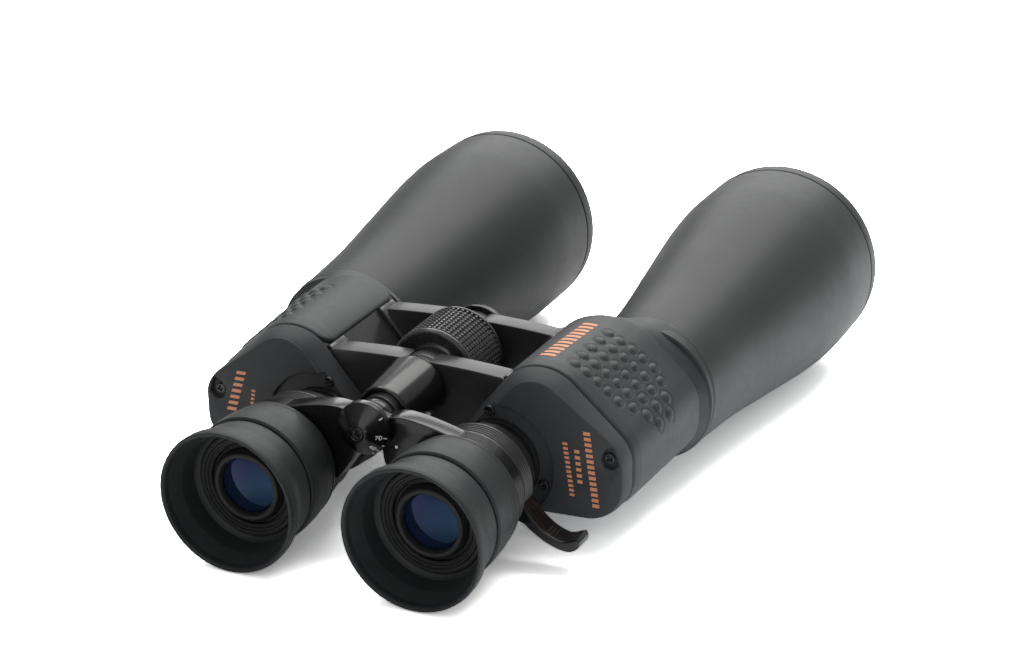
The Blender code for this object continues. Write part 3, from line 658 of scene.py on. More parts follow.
def eyepiece(word, side):
    """Eyecup, grip ring, tube and eye lens."""
    axis, eye = (side * EYE_X, EYE_Z), word + "_eyepiece"
    right = side > 0
    tip = "right_diopter" if right else eye
    tip_node = word + ("_diopter_ring" if right else "_grip_ring")
    cell = "right_eye_group" if right else eye
    lathe(word + "_eyecup_rubber", axis, EYECUP, CUP, tip, "eyecup_rubber",
          word + "_eyecup", seg=144)
    lathe(word + "_grip_ring_body", axis, GRIP_RING, CUP, tip, "matte_plastic",
          tip_node, seg=144)
    lathe(word + "_eyepiece_tube_body", axis, TUBE, INNER, eye, "inner_metal",
          word + "_eyepiece_tube")
    lathe(word + "_eye_lens_ring", axis, EYE_LENS_RING, INNER, cell, "matte_plastic",
          word + "_eye_cell", seg=112)
    lathe(word + "_eye_glass", axis, EYE_GLASS, LENS, cell, "coated_glass",
          word + "_eye_lens", angle=50)


def bridge(word, side):
    """Grooved clamp ring round the eyepiece, with the web and knuckle to the hinge."""
    eye = word + "_eyepiece"
    lathe(word + "_bridge_clamp_ring", (side * EYE_X, EYE_Z), CLAMP_RING, GLOSS, eye,
          "gloss_metal", seg=144, steps=2)
    # The notch keeps the web clear of the other half's knuckle.
    notch = arc(*HINGE, 8.2, (-52, -36, -18, 0, 14, 27))
    web = smooth_path(WEB_UNDER, 4, closed=False) + notch
    web += smooth_path(WEB_TOP, 5, closed=False) + [(EYE_X - 1.5, EYE_Z + 21.1)]
    web += arc(EYE_X, EYE_Z, 20.0, range(92, 197, 6))
    plate(word + "_bridge_web", [mirror(web, side)], 40.0, 48.0, 0.5, GLOSS, eye,
          "gloss_metal", word + "_bridge_arm")
    y0, y1 = (40.05, 43.85) if side > 0 else (44.15, 47.95)
    knuckle = arc(*HINGE, 7.5, range(40, 321, 8))
    knuckle += [(9.5, HINGE_Z - 7.0), (10.5, HINGE_Z + 3.5)]
    plate(word + "_bridge_knuckle", [mirror(knuckle, side), circle(*HINGE, 4.3, 40)],
          y0, y1, 0.35, GLOSS, eye, "gloss_metal")


def zoom_ring(word, side):
    lathe(word + "_zoom_grip", (side * EYE_X, EYE_Z), ZOOM_RING, SATIN, word + "_zoom",
          "matte_plastic", word + "_zoom_ring", seg=144, steps=2)


# ---------------------------------------------------------------- prism housings
# How far each side of the core, and of its tapered ends, lies out from CORNERS.
CORE = (-2.6, -2.6, -2.6, -1.1, -0.8)
CORE_END = (-3.4, -3.4, -3.4, -1.9, -1.6)
# Hinge arms: name, y range, z of the lower edge, shift of the root pad's two faces.
ARMS = (
    ("rear", (78.4, 87.6), 45.0, (0.5, 2.4)),
    ("front", (122.0, 130.4), 48.8, (-2.8, -0.5)),
)
ARM_TOP = [
    (6.2, 69.25), (12, 69.2), (20, 68.9), (28, 68.45), (34.8, 67.9), (37.6, 66.6), (40, 62),
    (40, 50)]
# Pad where an arm meets the housing's inner slope: (x, z).
ARM_ROOT = [
    (20.6, 49.9), (22.4, 49.1), (25.5, 50.0), (38.6, 66.0), (38.4, 68.2), (36.6, 68.9),
    (34.9, 67.7)]


def housing(word, side):
    half = word + "_half"
    core, end = outline(CORE), outline(CORE_END)
    stations = [(COVER_FRONT + 0.35, end), (COVER_FRONT + 1.1, core), (133.2, core),
                (133.9, end)]
    make(word + "_housing_core", *station_solid(stations, side), HOUSE, half,
         "housing_metal", word + "_prism_housing")
    for where, (y0, y1), foot, (root_shift0, root_shift1) in ARMS:
        arm = arc(*HINGE, 10.9, (-62, -48, -34, -17, 0, 17, 34, 50, 63)) + ARM_TOP
        arm += [(24, foot), (12, foot), (5.4, foot)]
        plate(f"{word}_{where}_arm", [mirror(arm, side)], y0, y1, 0.45, SATIN, half,
              "housing_metal")
        # The two halves' knuckles share the arm's thickness.
        middle = (y0 + y1) / 2
        knuckle_y = (middle + 0.15, y1 - 0.02) if side > 0 else (y0 + 0.02, middle - 0.15)
        knuckle = arc(*HINGE, 10.4, range(44, 317, 8))
        knuckle += [(12.4, HINGE_Z - 9.0), (12.4, HINGE_Z + 8.9)]
        plate(f"{word}_{where}_knuckle", [mirror(knuckle, side), circle(*HINGE, 6.8, 40)],
              *knuckle_y, 0.35, SATIN, half, "housing_metal")
        plate(f"{word}_{where}_arm_root", [mirror(ARM_ROOT, side)],
              max(y0 + root_shift0, COVER_FRONT + 0.3), y1 + root_shift1, 0.5, HOUSE, half,
              "housing_metal")


for word, side in SIDES:
    barrel(word, side)
    eyepiece(word, side)
    bridge(word, side)
    zoom_ring(word, side)
    housing(word, side)


# ---------------------------------------------------------------- armour with raised dots
# The armour is drawn over a path round the housing: s is the distance along the path.
def armour_path():
    """Points, outward normals, distance of each point and the whole length."""
    points = np.array(outline(-2.3, arc_steps=30, step=0.5))
    lengths = np.hypot(*(np.roll(points, -1, 0) - points).T)
    distance = np.concatenate([[0], np.cumsum(lengths)[:-1]])
    normals = outward_normals(points)
    for _ in range(3):
        normals = unit(np.roll(normals, 1, 0) + 2 * normals + np.roll(normals, -1, 0))
    return points, normals, distance, lengths.sum()


PATH, NORMALS, DISTANCE, TOTAL = armour_path()
S_LOW, S_TOP = 10.0, 147.6
ARMOUR_WIDTH = S_TOP - S_LOW
Y_REAR, Y_FRONT = COVER_FRONT + 0.55, 134.0
ARMOUR_CORNER_R = 6.0
ARMOUR_EDGE_R = 1.2
EDGE_STEPS = (0, 0.05, 0.15, 0.3, 0.5, 0.8, 1.2, 1.8, 2.6)      # grid spacing at an edge
FRONT_LOOP = outline((0.8, 3.9, 3.9, 0.6, 0.6), arc_steps=30, step=0.5, top_ease=6.5)

# Columns of dots along the length: (s, first dot's y, pitch, count).
DOT_COLUMNS = (
    (125.9, 118.4, 7.6, 5), (121.2, 117.9, 7.45, 5), (116.1, 118.4, 7.4, 5),
    (111.0, 119.2, 7.45, 5), (105.8, 120.1, 7.6, 5), (100.5, 117.8, 8.0, 4),
    (95.3, 113.3, 8.2, 3), (91.3, 109.9, 8.9, 2))
DOTS = [(s, y - k * pitch) for s, y, pitch, count in DOT_COLUMNS for k in range(count)]
DOT_HALF_S, DOT_HALF_Y = 1.8, 2.2


def reach_to(loop):
    """How far along its normal from each path point the loop lies."""
    starts = np.array(loop)
    edges = np.roll(starts, -1, 0) - starts
    out = np.zeros(len(PATH))
    for i, (point, normal) in enumerate(zip(PATH, NORMALS)):
        det = normal[0] * -edges[:, 1] + normal[1] * edges[:, 0]
        det = np.where(np.abs(det) < 1e-9, 1e-9, det)
        gap = starts - point
        reach = (gap[:, 0] * -edges[:, 1] + gap[:, 1] * edges[:, 0]) / det
        share = (normal[0] * gap[:, 1] - normal[1] * gap[:, 0]) / det
        hit = (share >= 0) & (share <= 1) & (reach > -4) & (reach < 14)
        out[i] = reach[hit].min() if hit.any() else 3.0
    return out


FRONT_HEIGHT = reach_to(FRONT_LOOP)
for _ in range(6):
    FRONT_HEIGHT = (np.roll(FRONT_HEIGHT, 1) + 2 * FRONT_HEIGHT + np.roll(FRONT_HEIGHT, -1)) / 4


def along(values, s):
    return np.interp(s, DISTANCE, values, period=TOTAL)


def armour_height(s, y):
    """Height of the rubber over the path: low at the rear, growing to the front edge."""
    share = min(1.0, max(0.0, (y - Y_REAR) / (Y_FRONT - Y_REAR))) ** 0.85
    rear = 2.3 + 0.55 * min(1.0, max(0.0, (y - Y_REAR) / 5.0))
    return rear * (1 - share) + along(FRONT_HEIGHT, s) * share


def over_path(s, height):
    x = along(PATH[:, 0], s) + along(NORMALS[:, 0], s) * height
    z = along(PATH[:, 1], s) + along(NORMALS[:, 1], s) * height
    return x, z


def corner_pull(distance):
    """How far the panel's rounded corner draws in at this distance from its end."""
    if distance >= ARMOUR_CORNER_R:
        return 0.0
    square = ARMOUR_CORNER_R ** 2 - (ARMOUR_CORNER_R - distance) ** 2
    return ARMOUR_CORNER_R - math.sqrt(max(square, 0))


def dot_relief(s, y):
    """Soft domes, longer along Y than across, each in a shallow moat."""
    relief = 0.0
    for dot_s, dot_y in DOTS:
        if abs(y - dot_y) > 4.2:
            continue
        across, lengthwise = (s - dot_s) / DOT_HALF_S, (y - dot_y) / DOT_HALF_Y
        r = np.sqrt(across * across + lengthwise * lengthwise)
        relief = relief + 0.78 * np.clip(1 - r ** 2, 0, 1) ** 0.55
        relief = relief - 0.32 * np.exp(-((r - 1.2) / 0.17) ** 2)
    return relief


def armour(word, side):
    rows = sorted(set(
        [round(Y_REAR + d, 3) for d in EDGE_STEPS]
        + [round(Y_FRONT - d, 3) for d in (*EDGE_STEPS, 4.0, 6.0)]
        + [round(v, 3) for v in np.arange(82.0, 125.0, 0.55)] + [127]))
    # The grid is fine where the dots are.
    inside = np.concatenate([
        np.arange(4.5, 76.0, 1.6), np.arange(76.0, 121.0, 0.5), np.arange(121.5, 134.8, 1.0)])
    columns = np.array(sorted(
        [d / ARMOUR_WIDTH for d in EDGE_STEPS] + [1 - d / ARMOUR_WIDTH for d in EDGE_STEPS]
        + list(inside / ARMOUR_WIDTH)))
    outer, inner = [], []
    for y in rows:
        shrink = max(corner_pull(y - Y_REAR), corner_pull(Y_FRONT - y))
        s0, s1 = S_LOW + shrink, S_TOP - shrink
        s = s0 + columns * (s1 - s0)
        edge = np.minimum(np.minimum(s - s0, s1 - s), min(y - Y_REAR, Y_FRONT - y))
        share = np.clip(edge / ARMOUR_EDGE_R, 0, 1)
        drop = ARMOUR_EDGE_R * (1 - np.sqrt(np.clip(1 - (1 - share) ** 2, 0, 1)))
        height = armour_height(s, y) - drop + dot_relief(s, y)
        for layer, level in ((outer, height), (inner, 0.05)):
            x, z = over_path(s, level)
            layer.append(np.stack([side * x, np.full_like(x, y), z], 1))
    verts = np.concatenate(outer + inner)
    make(word + "_armour_panel", verts, slab_faces(len(rows), len(columns)), RUBBER,
         word + "_half", "rubber_armour", word + "_armour", angle=60)


def shoulder(word, side):
    """Narrows from the armour's front edge to the round collar behind the barrel.

    It reaches furthest forward on the upper inner side.
    """
    count = 220
    angles = np.linspace(0, 2 * math.pi, count, endpoint=False)
    edge = radii_about((BARREL_X, BARREL_Z), angles, FRONT_LOOP)
    length = 11.4 + 3.6 * np.cos(angles - math.radians(135))
    bell_y, bell_r = zip(*BELL)
    collar = np.interp(Y_FRONT + length, bell_y, bell_r) + 0.35
    rings = [(np.full(count, 132.6), edge - 3.0), (np.full(count, 132.7), edge - 0.75)]
    for k in range(15):
        t = k / 14
        ease = t ** 1.25 * (1.6 - 0.6 * t)
        radii = (edge - 0.75) * (1 - ease) + collar * ease
        rings.append((Y_FRONT + (0.02 + 0.94 * t) * length, radii))
    rings += [
        (Y_FRONT + 0.985 * length, collar - 0.12), (Y_FRONT + length, collar - 0.45),
        (Y_FRONT + length, np.full(count, 26.6))]
    verts = [(side * (BARREL_X + r * math.cos(a)), y, BARREL_Z + r * math.sin(a))
             for ys, radii in rings for y, r, a in zip(ys, radii, angles)]
    make(word + "_front_shoulder", verts, capped_walls(len(rings), count), RUBBER,
         word + "_half", "rubber_armour", angle=40)


for word, side in SIDES:
    armour(word, side)
for word, side in SIDES:
    shoulder(word, side)


# ---------------------------------------------------------------- rear covers
COVER_MIDDLE = (52.0, 45.0)
# Corners of the cover's rear face: (x, z, radius).
FACE_CORNERS = (
    (19.0, 20.4, 15.0), (86.2, 22.7, 15.0), (86.2, 50.5, 8.0), (50.1, 77.8, 13.0),
    (19.0, 39.9, 3.0))
COVER_EDGE_R = 0.8
POCKET_FLOOR = COVER_REAR + 2.3
POCKET_LIP = 0.35
# Lobe of the eyepiece recess round the inner screw: (x, z).
RECESS_LOBE = [
    (39.6, 60.9), (36.5, 61.3), (34.2, 61.6), (32.6, 61.5), (31.3, 60.8), (30.3, 59.6)]
# Pocket of the outer screw: (x, z, radius).
SCREW_POCKET = [
    (82.6, 52.4, 0.8), (79.4, 51.2, 2.0), (77.5, 47.3, 2.6), (78.8, 43.7, 2.6),
    (82.4, 43.2, 2.0), (84.7, 46.0, 0.8)]


def cover_stations():
    """The side band from the seam to the rear face, with a softened edge."""
    # Seam and face are read by direction from the middle, so their points pair up.
    angles = np.linspace(0, 2 * math.pi, 260, endpoint=False)
    seam = outline(-0.15, arc_steps=20, step=0.9)
    edge = radii_about(COVER_MIDDLE, angles, seam)
    rear = outline(0.0, arc_steps=20, step=0.9, corners=FACE_CORNERS)
    face = np.minimum(radii_about(COVER_MIDDLE, angles, rear), edge - 0.25)
    depth = COVER_FRONT - COVER_REAR
    band = [(COVER_FRONT - 0.02, edge - 0.9), (COVER_FRONT - 0.12, edge - 0.35),
            (COVER_FRONT - 0.5, edge)]
    for t in (0.1, 0.25, 0.45, 0.65, 0.8, 0.9):
        bulge = 0.35 * math.sin(math.pi * t)
        band.append((COVER_FRONT - 0.5 - (depth - 1.0) * t, edge + (face - edge) * t + bulge))
    for degrees in range(0, 91, 18):
        a = math.radians(degrees)
        y = COVER_REAR + COVER_EDGE_R - COVER_EDGE_R * math.sin(a)
        band.append((y, face - COVER_EDGE_R * (1 - math.cos(a))))
    mid_x, mid_z = COVER_MIDDLE
    return [(y, [(mid_x + r * math.cos(a), mid_z + r * math.sin(a))
                 for r, a in zip(radii, angles)]) for y, radii in band]


def recess_loop():
    """Round recess, cut straight along the inner slope, with the inner screw's lobe."""
    (x0, z0, _), (x1, z1, _) = CORNERS[4], CORNERS[3]
    slope_x, slope_z = x1 - x0, z1 - z0
    slope = math.hypot(slope_x, slope_z)
    normal_x, normal_z = -slope_z / slope, slope_x / slope
    kept = []
    for x, z in circle(EYE_X, EYE_Z, 22.5, 120):
        over = max((x - EYE_X) * normal_x + (z - EYE_Z) * normal_z - 16.9, 0)
        x, z = x - over * normal_x, z - over * normal_z
        bearing = math.degrees(math.atan2(z - EYE_Z, x - EYE_X))
        if not 80 < bearing < 124:      # the lobe takes this part
            kept.append((x, z, bearing))
    kept.sort(key=lambda point: (point[2] - 124) % 360)
    return smooth_path([(x, z) for x, z, _ in kept] + RECESS_LOBE, 2)


def pocket_stations(loop):
    points = np.array(loop)
    normals = outward_normals(points)
    if np.sum(normals * (points - points.mean(0))) <= 0:
        normals = -normals
    # (y, distance out): past the face, the softened lip, the floor.
    levels = (
        (COVER_REAR - 6, POCKET_LIP), (COVER_REAR, POCKET_LIP),
        (COVER_REAR + 0.05, POCKET_LIP * 0.55), (COVER_REAR + 0.16, POCKET_LIP * 0.2),
        (COVER_REAR + POCKET_LIP, 0.0), (POCKET_FLOOR, -0.25))
    return [(y, points + normals * out) for y, out in levels]


def rear_cover(word, side):
    """A closed shell with the recess, the screw pocket and the bore cut from it."""
    def solid(name, stations):
        return add_object(name, solid_mesh(name, *station_solid(stations, side)))

    name = word + "_rear_cover_shell"
    shell = solid(name, cover_stations())
    bore = circle(EYE_X, EYE_Z, 16.0, 96)
    cutters = [
        solid("cutter_recess", pocket_stations(recess_loop())),
        solid("cutter_pocket", pocket_stations(rounded(SCREW_POCKET, steps=6))),
        solid("cutter_bore", [(COVER_REAR - 6, bore), (COVER_FRONT + 6, bore)])]
    for cutter in cutters:
        cut = shell.modifiers.new("cut", "BOOLEAN")
        cut.operation = "DIFFERENCE"
        cut.solver = "EXACT"
        cut.object = cutter
    mesh = evaluated_mesh(shell)
    shell.modifiers.clear()
    shell.data = mesh
    for cutter in cutters:
        bpy.data.objects.remove(cutter, do_unlink=True)
    mesh.name = name
    soften(mesh, 30)
    assign(shell, COVER, word + "_half", "matte_plastic", word + "_rear_cover")


for word, side in SIDES:
    rear_cover(word, side)


# ---------------------------------------------------------------- cross-head screws
COVER_SCREWS = ((33.2, 57.7), (54.5, 31.5), (80.6, 47.2))      # (x, z)


def cross_screw(name, x, z, y_top, r, body, replaces, turn, depth=0.7):
    """Screw head facing the rear; turn is the angle of its cross in radians."""
    arm, reach = r * 0.16, r * 0.58
    cross = []
    for quarter in range(4):
        a = turn + quarter * math.pi / 2
        c, s = math.cos(a), math.sin(a)
        for u, v in ((reach, -arm), (reach, arm), (arm, arm)):
            cross.append((x + c * u - s * v, z + s * u + c * v))
    plate(name, [circle(x, z, r, 40), cross], y_top, y_top + 1.3, r * 0.17, SCREW, body,
          "screw_steel", replaces)
    seat = [(y_top + depth, 0), (y_top + depth, r * 0.8, 0.1), (y_top + 1.5, r * 0.8),
            (y_top + 1.5, 0)]
    lathe(name + "_seat", (x, z), seat, SCREW, body, "screw_steel", seg=24)


for word, side in SIDES:
    for k, (x, z) in enumerate(COVER_SCREWS, 1):
        cross_screw(f"{word}_cover_screw_head_{k}", side * x, z, POCKET_FLOOR - 1.25, 2.0,
                    word + "_half", f"{word}_cover_screw_{k}", turn=0.4 * k + side)

# ---------------------------------------------------------------- hinge
# Lathe profiles about the hinge: (y, r[, fillet]).
HINGE_TUBE = [
    (131.5, 0), (131.5, 6.5), (77.6, 6.5), (77.6, 12.2, 0.4), (76.4, 12.4, 0.5),
    (74.8, 12.3, 0.6), (52.0, 10.25, 0.5), (51.2, 9.9, 0.4), (50.95, 9.3, 0.3),
    (51.1, 8.4, 0.2), (62.0, 8.3), (62.0, 4.3), (112.0, 4.3), (112.0, 0)]
FRONT_BOSS = [
    (130.7, 6.8), (130.7, 12.1, 0.3), (131.4, 12.4, 0.5), (134.4, 11.6, 1.5),
    (136.9, 9.9, 0.8), (137.45, 9.2, 0.3), (137.5, 6.4, 0.2), (137.2, 6.0, 0.2), (136.0, 6.0),
    (136.0, 3.3), (131.9, 3.3), (131.9, 6.8)]
TRIPOD_CAP = [
    (132.4, 0), (132.4, 2.9), (136.3, 2.9), (136.3, 5.6, 0.2), (137.1, 5.6, 0.3),
    (137.1, 3.0, 0.2), (136.8, 2.8, 0.2), (136.8, 0)]
WHEEL = [
    (88.0, 6.8), (88.0, 9.0, 0.3), (88.6, 9.4, 0.3), (92.6, 9.7, 0.8), (93.4, 11.2, 1.2),
    (92.0, 14.2, 1.6), (91.0, 15.7, 0.3), (91.0, 16.5, 0.35), (92.1, 17.3, 0.35),
    (93.0, 17.3, 0.2), (93.0, 14.9), (115.1, 14.9), (115.1, 17.3, 0.2), (116.0, 17.3, 0.35),
    (117.1, 16.5, 0.35), (117.1, 15.7, 0.3), (116.1, 14.2, 1.6), (114.7, 11.2, 1.2),
    (115.5, 9.7, 0.8), (120.4, 9.4, 0.3), (121.0, 9.0, 0.3), (121.0, 6.8), (110.0, 6.8),
    (110.0, 8.9), (94.5, 8.9), (94.5, 6.8)]

lathe("hinge_tube_body", HINGE, HINGE_TUBE, GLOSS, "hinge", "gloss_metal", "hinge_tube",
      seg=112)
lathe("front_boss", HINGE, FRONT_BOSS, GLOSS, "hinge", "gloss_metal", "tripod_socket",
      seg=112)
lathe("tripod_cap_disc", HINGE, TRIPOD_CAP, SATIN, "tripod_cap", "matte_plastic",
      "tripod_cap", seg=72)

# ---------------------------------------------------------------- focus wheel and shaft
lathe("focus_wheel_core", HINGE, WHEEL, KNURL, "focus_wheel", "gloss_metal", "focus_wheel",
      seg=128)

# One knurl cell: (place in the cell, height), both as shares.
KNURL_CELL = ((0.0, 0.0), (0.14, 0.18), (0.30, 1.0), (0.70, 1.0), (0.86, 0.18))


def knurl(around=54, across=11, y0=93.25, y1=114.85, bore=15.2, root=16.4, tip=17.35):
    """Square knurl: rows of small flat-topped pyramids between grooves."""
    def cells(count):
        return [((k + share) / count, height)
                for k in range(count) for share, height in KNURL_CELL]

    columns = cells(around)
    rows = cells(across) + [(1.0, 0.0)]

    def point(r, y, share):
        a = 2 * math.pi * share
        return r * math.cos(a), y, HINGE_Z + r * math.sin(a)

    verts = [point(root + (tip - root) * min(column_height, row_height), y0 + (y1 - y0) * v, u)
             for v, row_height in rows for u, column_height in columns]
    base, n = len(verts), len(columns)
    verts += [point(bore, y, u) for y in (y0, y1) for u, _ in columns]
    faces = walls(len(rows), n)
    last = base - n
    for k in range(n):
        j = (k + 1) % n
        faces.append((k, base + k, base + j, j))
        faces.append((last + k, last + j, base + n + j, base + n + k))
        faces.append((base + k, base + n + k, base + n + j, base + j))
    make("focus_wheel_knurl", verts, faces, KNURL, "focus_wheel", "grip_rubber",
         "focus_grip", angle=20)


knurl()

SHAFT_RIDGE = ((0, 7.8, 0.1), (0.55, 7.8, 0.1), (0.7, 7.35, 0.08), (1.0, 7.35, 0.08))
SHAFT = (
    [(36.3, 0), (36.3, 4.0, 0.3), (48.6, 4.0), (48.6, 7.2, 0.2)]
    + repeated(SHAFT_RIDGE, first=48.8, pitch=1.15, count=9)
    + [(59.4, 7.8, 0.2), (59.4, 4.0), (109.0, 4.0), (109.0, 0)])
lathe("focus_shaft_sleeve", HINGE, SHAFT, TURNED, "focus_shaft", "screw_steel",
      "focus_shaft", steps=2)

# ---------------------------------------------------------------- eye-distance dial
CONE_SMALL, CONE_LARGE = (32.1, 4.2), (36.55, 10.05)      # (y, r) of the cone's two ends
DIAL = [
    (33.2, 2.5, 0.1), (31.9, 2.5, 0.1), (31.65, 2.8, 0.12), (31.7, 3.4, 0.15),
    (*CONE_SMALL, 0.3), (*CONE_LARGE, 0.25), (36.9, 10.2, 0.2), (39.2, 10.2, 0.3),
    (39.3, 9.6, 0.2), (39.3, 4.3), (35.9, 4.3), (35.9, 1.7), (33.2, 1.7)]
LONG_TICK, SHORT_TICK = 5.7, 6.3      # where a tick starts, out along the cone
TICKS = (
    (35, LONG_TICK), (-12, LONG_TICK), (-32.5, SHORT_TICK), (-51, LONG_TICK),
    (-66, SHORT_TICK))      # (degrees, start)
NUMBERS = (("70", -12), ("60", -51))      # (text, degrees)


def on_cone(degrees):
    """Points on the dial: u out along the cone from its small end, v round it, in mm."""
    (y0, r0), (y1, r1) = CONE_SMALL, CONE_LARGE
    length = math.hypot(y1 - y0, r1 - r0)

    def place(u, v, lift):
        share = u / length
        y = y0 + (y1 - y0) * share - (r1 - r0) / length * lift
        r = r0 + (r1 - r0) * share + (y1 - y0) / length * lift
        a = math.radians(degrees) + v / 8.6
        return r * math.cos(a), y, HINGE_Z + r * math.sin(a)
    return place


def dial_number(text, degrees):
    curve = bpy.data.curves.new("dial_number_" + text, "FONT")
    curve.body = text
    curve.size = 2.7
    curve.align_x = "RIGHT"
    curve.align_y = "CENTER"
    curve.extrude = 0.07
    curve.offset = 0.03
    place = on_cone(degrees)
    mesh = curve_mesh(curve, merge=1e-4, place=lambda x, y, z: place(5.35 + x, y, z))
    assign(add_object(curve.name, mesh), WHITE, "left_eyepiece", "gloss_metal")


lathe("ipd_dial_cone", HINGE, DIAL, GLOSS, "left_eyepiece", "gloss_metal", "ipd_dial",
      seg=112)
cross_screw("dial_screw_head", *HINGE, 31.75, 2.35, "left_eyepiece", "dial_screw",
            turn=0.5, depth=0.8)
for k, (degrees, start) in enumerate(TICKS, 1):
    inlay(f"dial_tick_{k}", on_cone(degrees), (start, 7.15), (-0.17, 0.17), cells=(4, 1),
          lifts=(-0.08, 0.06), look=WHITE, body="left_eyepiece", slot="gloss_metal")
for text, degrees in NUMBERS:
    dial_number(text, degrees)
lathe("bridge_index_dot", (11.3, 52.4), [(39.9, 0), (39.9, 0.55, 0.1), (40.3, 0.8), (40.3, 0)],
      WHITE, "right_eyepiece", "gloss_metal", seg=24)

# ---------------------------------------------------------------- zoom lever
# Upper and lower edges: (x, z).
LEVER_TOP = [
    (54.0, 36.8), (57.0, 34.0), (61.0, 28.9), (66.0, 24.9), (71.6, 22.9), (75.4, 24.0),
    (77.4, 24.9)]
LEVER_LOW = [
    (78.4, 23.6), (77.9, 21.2), (74.8, 19.2), (70.6, 19.4), (65.0, 21.4), (59.4, 24.9),
    (56.8, 27.0), (53.4, 27.8)]
LEVER_RIB = [(48.9, 0), (48.9, 0.34, 0.1), (56.8, 0.34, 0.1), (56.8, 0)]


def zoom_lever():
    """The paddle, with ten ribs along the outer part of its upper edge."""
    top = smooth_path(LEVER_TOP, 6, closed=False)
    low = smooth_path(LEVER_LOW, 6, closed=False)
    plate("zoom_lever_paddle", [top + low], 48.2, 57.5, 0.55, GLOSS, "right_zoom",
          "matte_plastic")
    top_x, top_z = zip(*top)
    for k in range(10):
        x = 65.6 + 10.6 * (k / 9)
        z = float(np.interp(x, top_x, top_z))
        lathe(f"zoom_lever_rib_{k + 1}", (x, z), LEVER_RIB, GLOSS, "right_zoom",
              "matte_plastic", seg=16)


zoom_lever()

# ---------------------------------------------------------------- plain colour accents
# Columns of bars on the rear covers: name, side, count, first x, x shift per bar,
# first top z, pitch, width, height, slant.
COVER_ACCENTS = (
    ("right_cover_accent_a", 1, 14, 71.0, 0.265, 56.7, 2.15, 2.7, 1.35, 0.0),
    ("right_cover_accent_b", 1, 6, 67.5, 0.23, 49.0, 2.35, 2.0, 1.3, 0.0),
    ("right_cover_accent_c", 1, 12, 62.9, 0.24, 51.2, 1.8, 1.9, 1.05, 0.0),
    ("left_cover_accent_a", -1, 7, 68.6, 0.85, 56.4, 2.6, 4.0, 1.35, -0.5),
    ("left_cover_accent_b", -1, 5, 64.5, 0.3, 49.6, 1.7, 1.5, 0.95, 0.0),
)


def on_armour(u, v, lift):
    """Right armour: u forwards from y = 86, v along the path from s = 132.4."""
    y, s = 86.0 + u, 132.4 + v - 0.05 * u
    x, z = over_path(s, armour_height(s, y) + lift)
    return float(x), y, float(z)


def on_cover(side):
    return lambda u, v, lift: (side * u, COVER_REAR - lift, v)


for k in range(11):
    inlay(f"armour_accent_{k + 1}", on_armour, (1.0 + 3.35 * k, 3.0 + 3.35 * k), (0.2, 6.0),
          cells=(3, 6), lifts=(-0.15, 0.12), look=ORANGE, body="right_half",
          slot="rubber_armour", slant=0.18)
for name, side, count, x0, shift, z0, pitch, width, height, slant in COVER_ACCENTS:
    for k in range(count):
        x, z = x0 + shift * k, z0 - pitch * k
        inlay(f"{name}_{k + 1}", on_cover(side), (x, x + width), (z - height, z),
              cells=(1, 1), lifts=(-0.15, 0.05), look=ORANGE,
              body="right_half" if side > 0 else "left_half", slot="rubber_armour",
              slant=slant)

# ---------------------------------------------------------------- carried-over CAD pieces
FINISH = {
    "coated_glass": OBJECTIVE_LENS, "prism_glass": PRISM, "inner_metal": INNER,
    "screw_steel": SCREW, "matte_plastic": COVER, "gloss_metal": GLOSS,
    "housing_metal": HOUSE, "rubber_armour": RUBBER, "eyecup_rubber": CUP,
    "grip_rubber": KNURL,
}
SLOTS = {part["node"]: part["material_slot"] for part in frame["record"]["subparts"]}
for name, piece in frame["nodes"].items():
    if not piece.hide_render:
        piece.data.materials.clear()
        piece.data.materials.append(FINISH[SLOTS[name]])

# ---------------------------------------------------------------- floor
FLOOR_HALF = 3.0      # metres
REST_Y = 280.0        # where the barrels touch the floor
FLOOR_SEEN = 3.6      # brightness of the floor seen directly
FLOOR_GLOW = 0.12


def floor_material():
    material, graph, shader = new_material("pale_floor")
    noise = graph.noise(graph.node("TexCoord").outputs["Object"], scale=30.0, detail=3.0)
    position = graph.node("NewGeometry").outputs["Position"]
    sideways = graph.node("SeparateXYZ", {0: position}).outputs["X"]
    graph.feed(shader, {
        "Base Color": graph.grey(graph.vary(noise, 0.87, 0.89)),
        "Roughness": 0.7,
        "Specular IOR Level": 0.1,
        "Emission Color": (0.88, 0.97, 1.0, 1),
        # Painted light: for rays other than the camera's, the floor glows faintly on the left
        # and middle and much more strongly to the right, standing in for the light the open
        # floor there throws back.
        "Emission Strength": graph.remap(sideways, 0.04, 0.18, 0.06, 0.85),
    })
    # Seen directly, the floor comes out plain white but for the close shadows.
    seen_tone = graph.grey(graph.vary(noise, FLOOR_SEEN * 0.99, FLOOR_SEEN * 1.01))
    seen = graph.node("BsdfDiffuse", {"Color": seen_tone})
    glow = graph.node("Emission", {"Strength": FLOOR_GLOW})
    lit = graph.node("AddShader", {0: seen.outputs[0], 1: glow.outputs[0]})
    camera_ray = graph.node("LightPath").outputs["Is Camera Ray"]
    pick = graph.node("MixShader", {0: camera_ray, 1: shader.outputs[0], 2: lit.outputs[0]})
    graph.feed(graph.tree.nodes["Material Output"], {"Surface": pick.outputs[0]})
    return material


def add_floor():
    """A floor pitched to pass under both the barrel fronts and the eyecups."""
    mesh = bpy.data.meshes.new("floor")
    h = FLOOR_HALF
    mesh.from_pydata([(-h, -h, 0), (h, -h, 0), (h, h, 0), (-h, h, 0)], [], [(0, 1, 2, 3)])
    floor = add_object("floor", mesh)
    floor.location = (0, (REST_Y - MID) * MM, -0.0003)
    floor.rotation_euler = (math.atan2(EYECUP_R - EYE_Z, REST_Y), 0, 0)
    mesh.materials.append(floor_material())


add_floor()


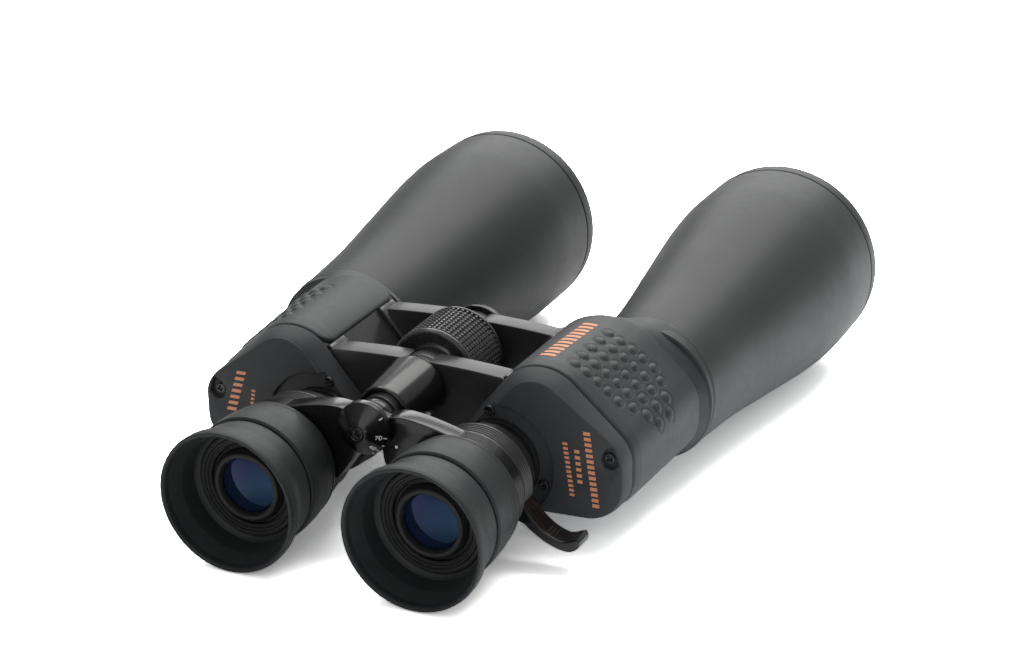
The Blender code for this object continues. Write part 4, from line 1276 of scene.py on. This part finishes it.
# ---------------------------------------------------------------- lights
def area(name, location, target, width, height, power, colour=(1, 1, 1)):
    light = bpy.data.lights.new(name, "AREA")
    light.energy = power
    light.color = colour
    light.shape = "RECTANGLE"
    light.size = width
    light.size_y = height
    lamp = add_object(name, light)
    lamp.location = location
    aim = Vector(target) - Vector(location)
    lamp.rotation_euler = aim.to_track_quat("-Z", "Y").to_euler()


area("top_softbox", location=(-0.12, 0.45, 1.15), target=(0.0, 0.03, 0.0),
     width=1.5, height=1.1, power=18.5, colour=(1.0, 1.0, 0.975))
area("back_softbox", location=(-0.35, 1.5, 0.65), target=(0.0, 0.1, 0.05),
     width=1.2, height=0.6, power=6.0)
area("front_fill", location=(0.1, -1.3, 0.7), target=(0.0, 0.0, 0.04),
     width=1.0, height=1.0, power=3.6)


def add_world():
    """Grey surroundings, brighter overhead and towards +Y."""
    world = bpy.data.worlds.new("studio")
    bpy.context.scene.world = world
    world.use_nodes = True
    graph = Graph(world.node_tree)
    direction = graph.node("TexCoord").outputs["Generated"]
    split = graph.node("SeparateXYZ", {0: direction})
    overhead = graph.remap(split.outputs["Z"], 0.05, 0.9, 0.0, 0.75)
    beyond = graph.remap(split.outputs["Y"], -0.1, 0.9, 0.04, 0.7)
    tone = graph.grey(graph.math("ADD", overhead, beyond))
    graph.feed(world.node_tree.nodes["Background"], {"Color": tone, "Strength": 0.55})


add_world()

# ---------------------------------------------------------------- camera
CAMERA_PLACE = (0.39973, -0.82593, 0.43216)      # metres
AZIMUTH, DOWN, ROLL = (math.radians(d) for d in (25.528, 22.309, -1.066))


def add_camera():
    lens = bpy.data.cameras.new("camera")
    camera = add_object("camera", lens)
    forward = Vector((-math.sin(AZIMUTH) * math.cos(DOWN), math.cos(AZIMUTH) * math.cos(DOWN),
                      -math.sin(DOWN)))
    level = forward.cross(Vector((0, 0, 1))).normalized()
    upright = level.cross(forward)
    right = math.cos(ROLL) * level + math.sin(ROLL) * upright
    up = -math.sin(ROLL) * level + math.cos(ROLL) * upright
    turn = Matrix((right, up, -forward)).transposed().to_4x4()
    camera.matrix_world = Matrix.Translation(CAMERA_PLACE) @ turn
    lens.sensor_width = 36.0
    lens.lens = 88.48
    lens.clip_start = 0.05
    lens.clip_end = 20
    bpy.context.scene.camera = camera


add_camera()
view = bpy.context.scene.view_settings
view.view_transform = "Standard"
view.look = "None"
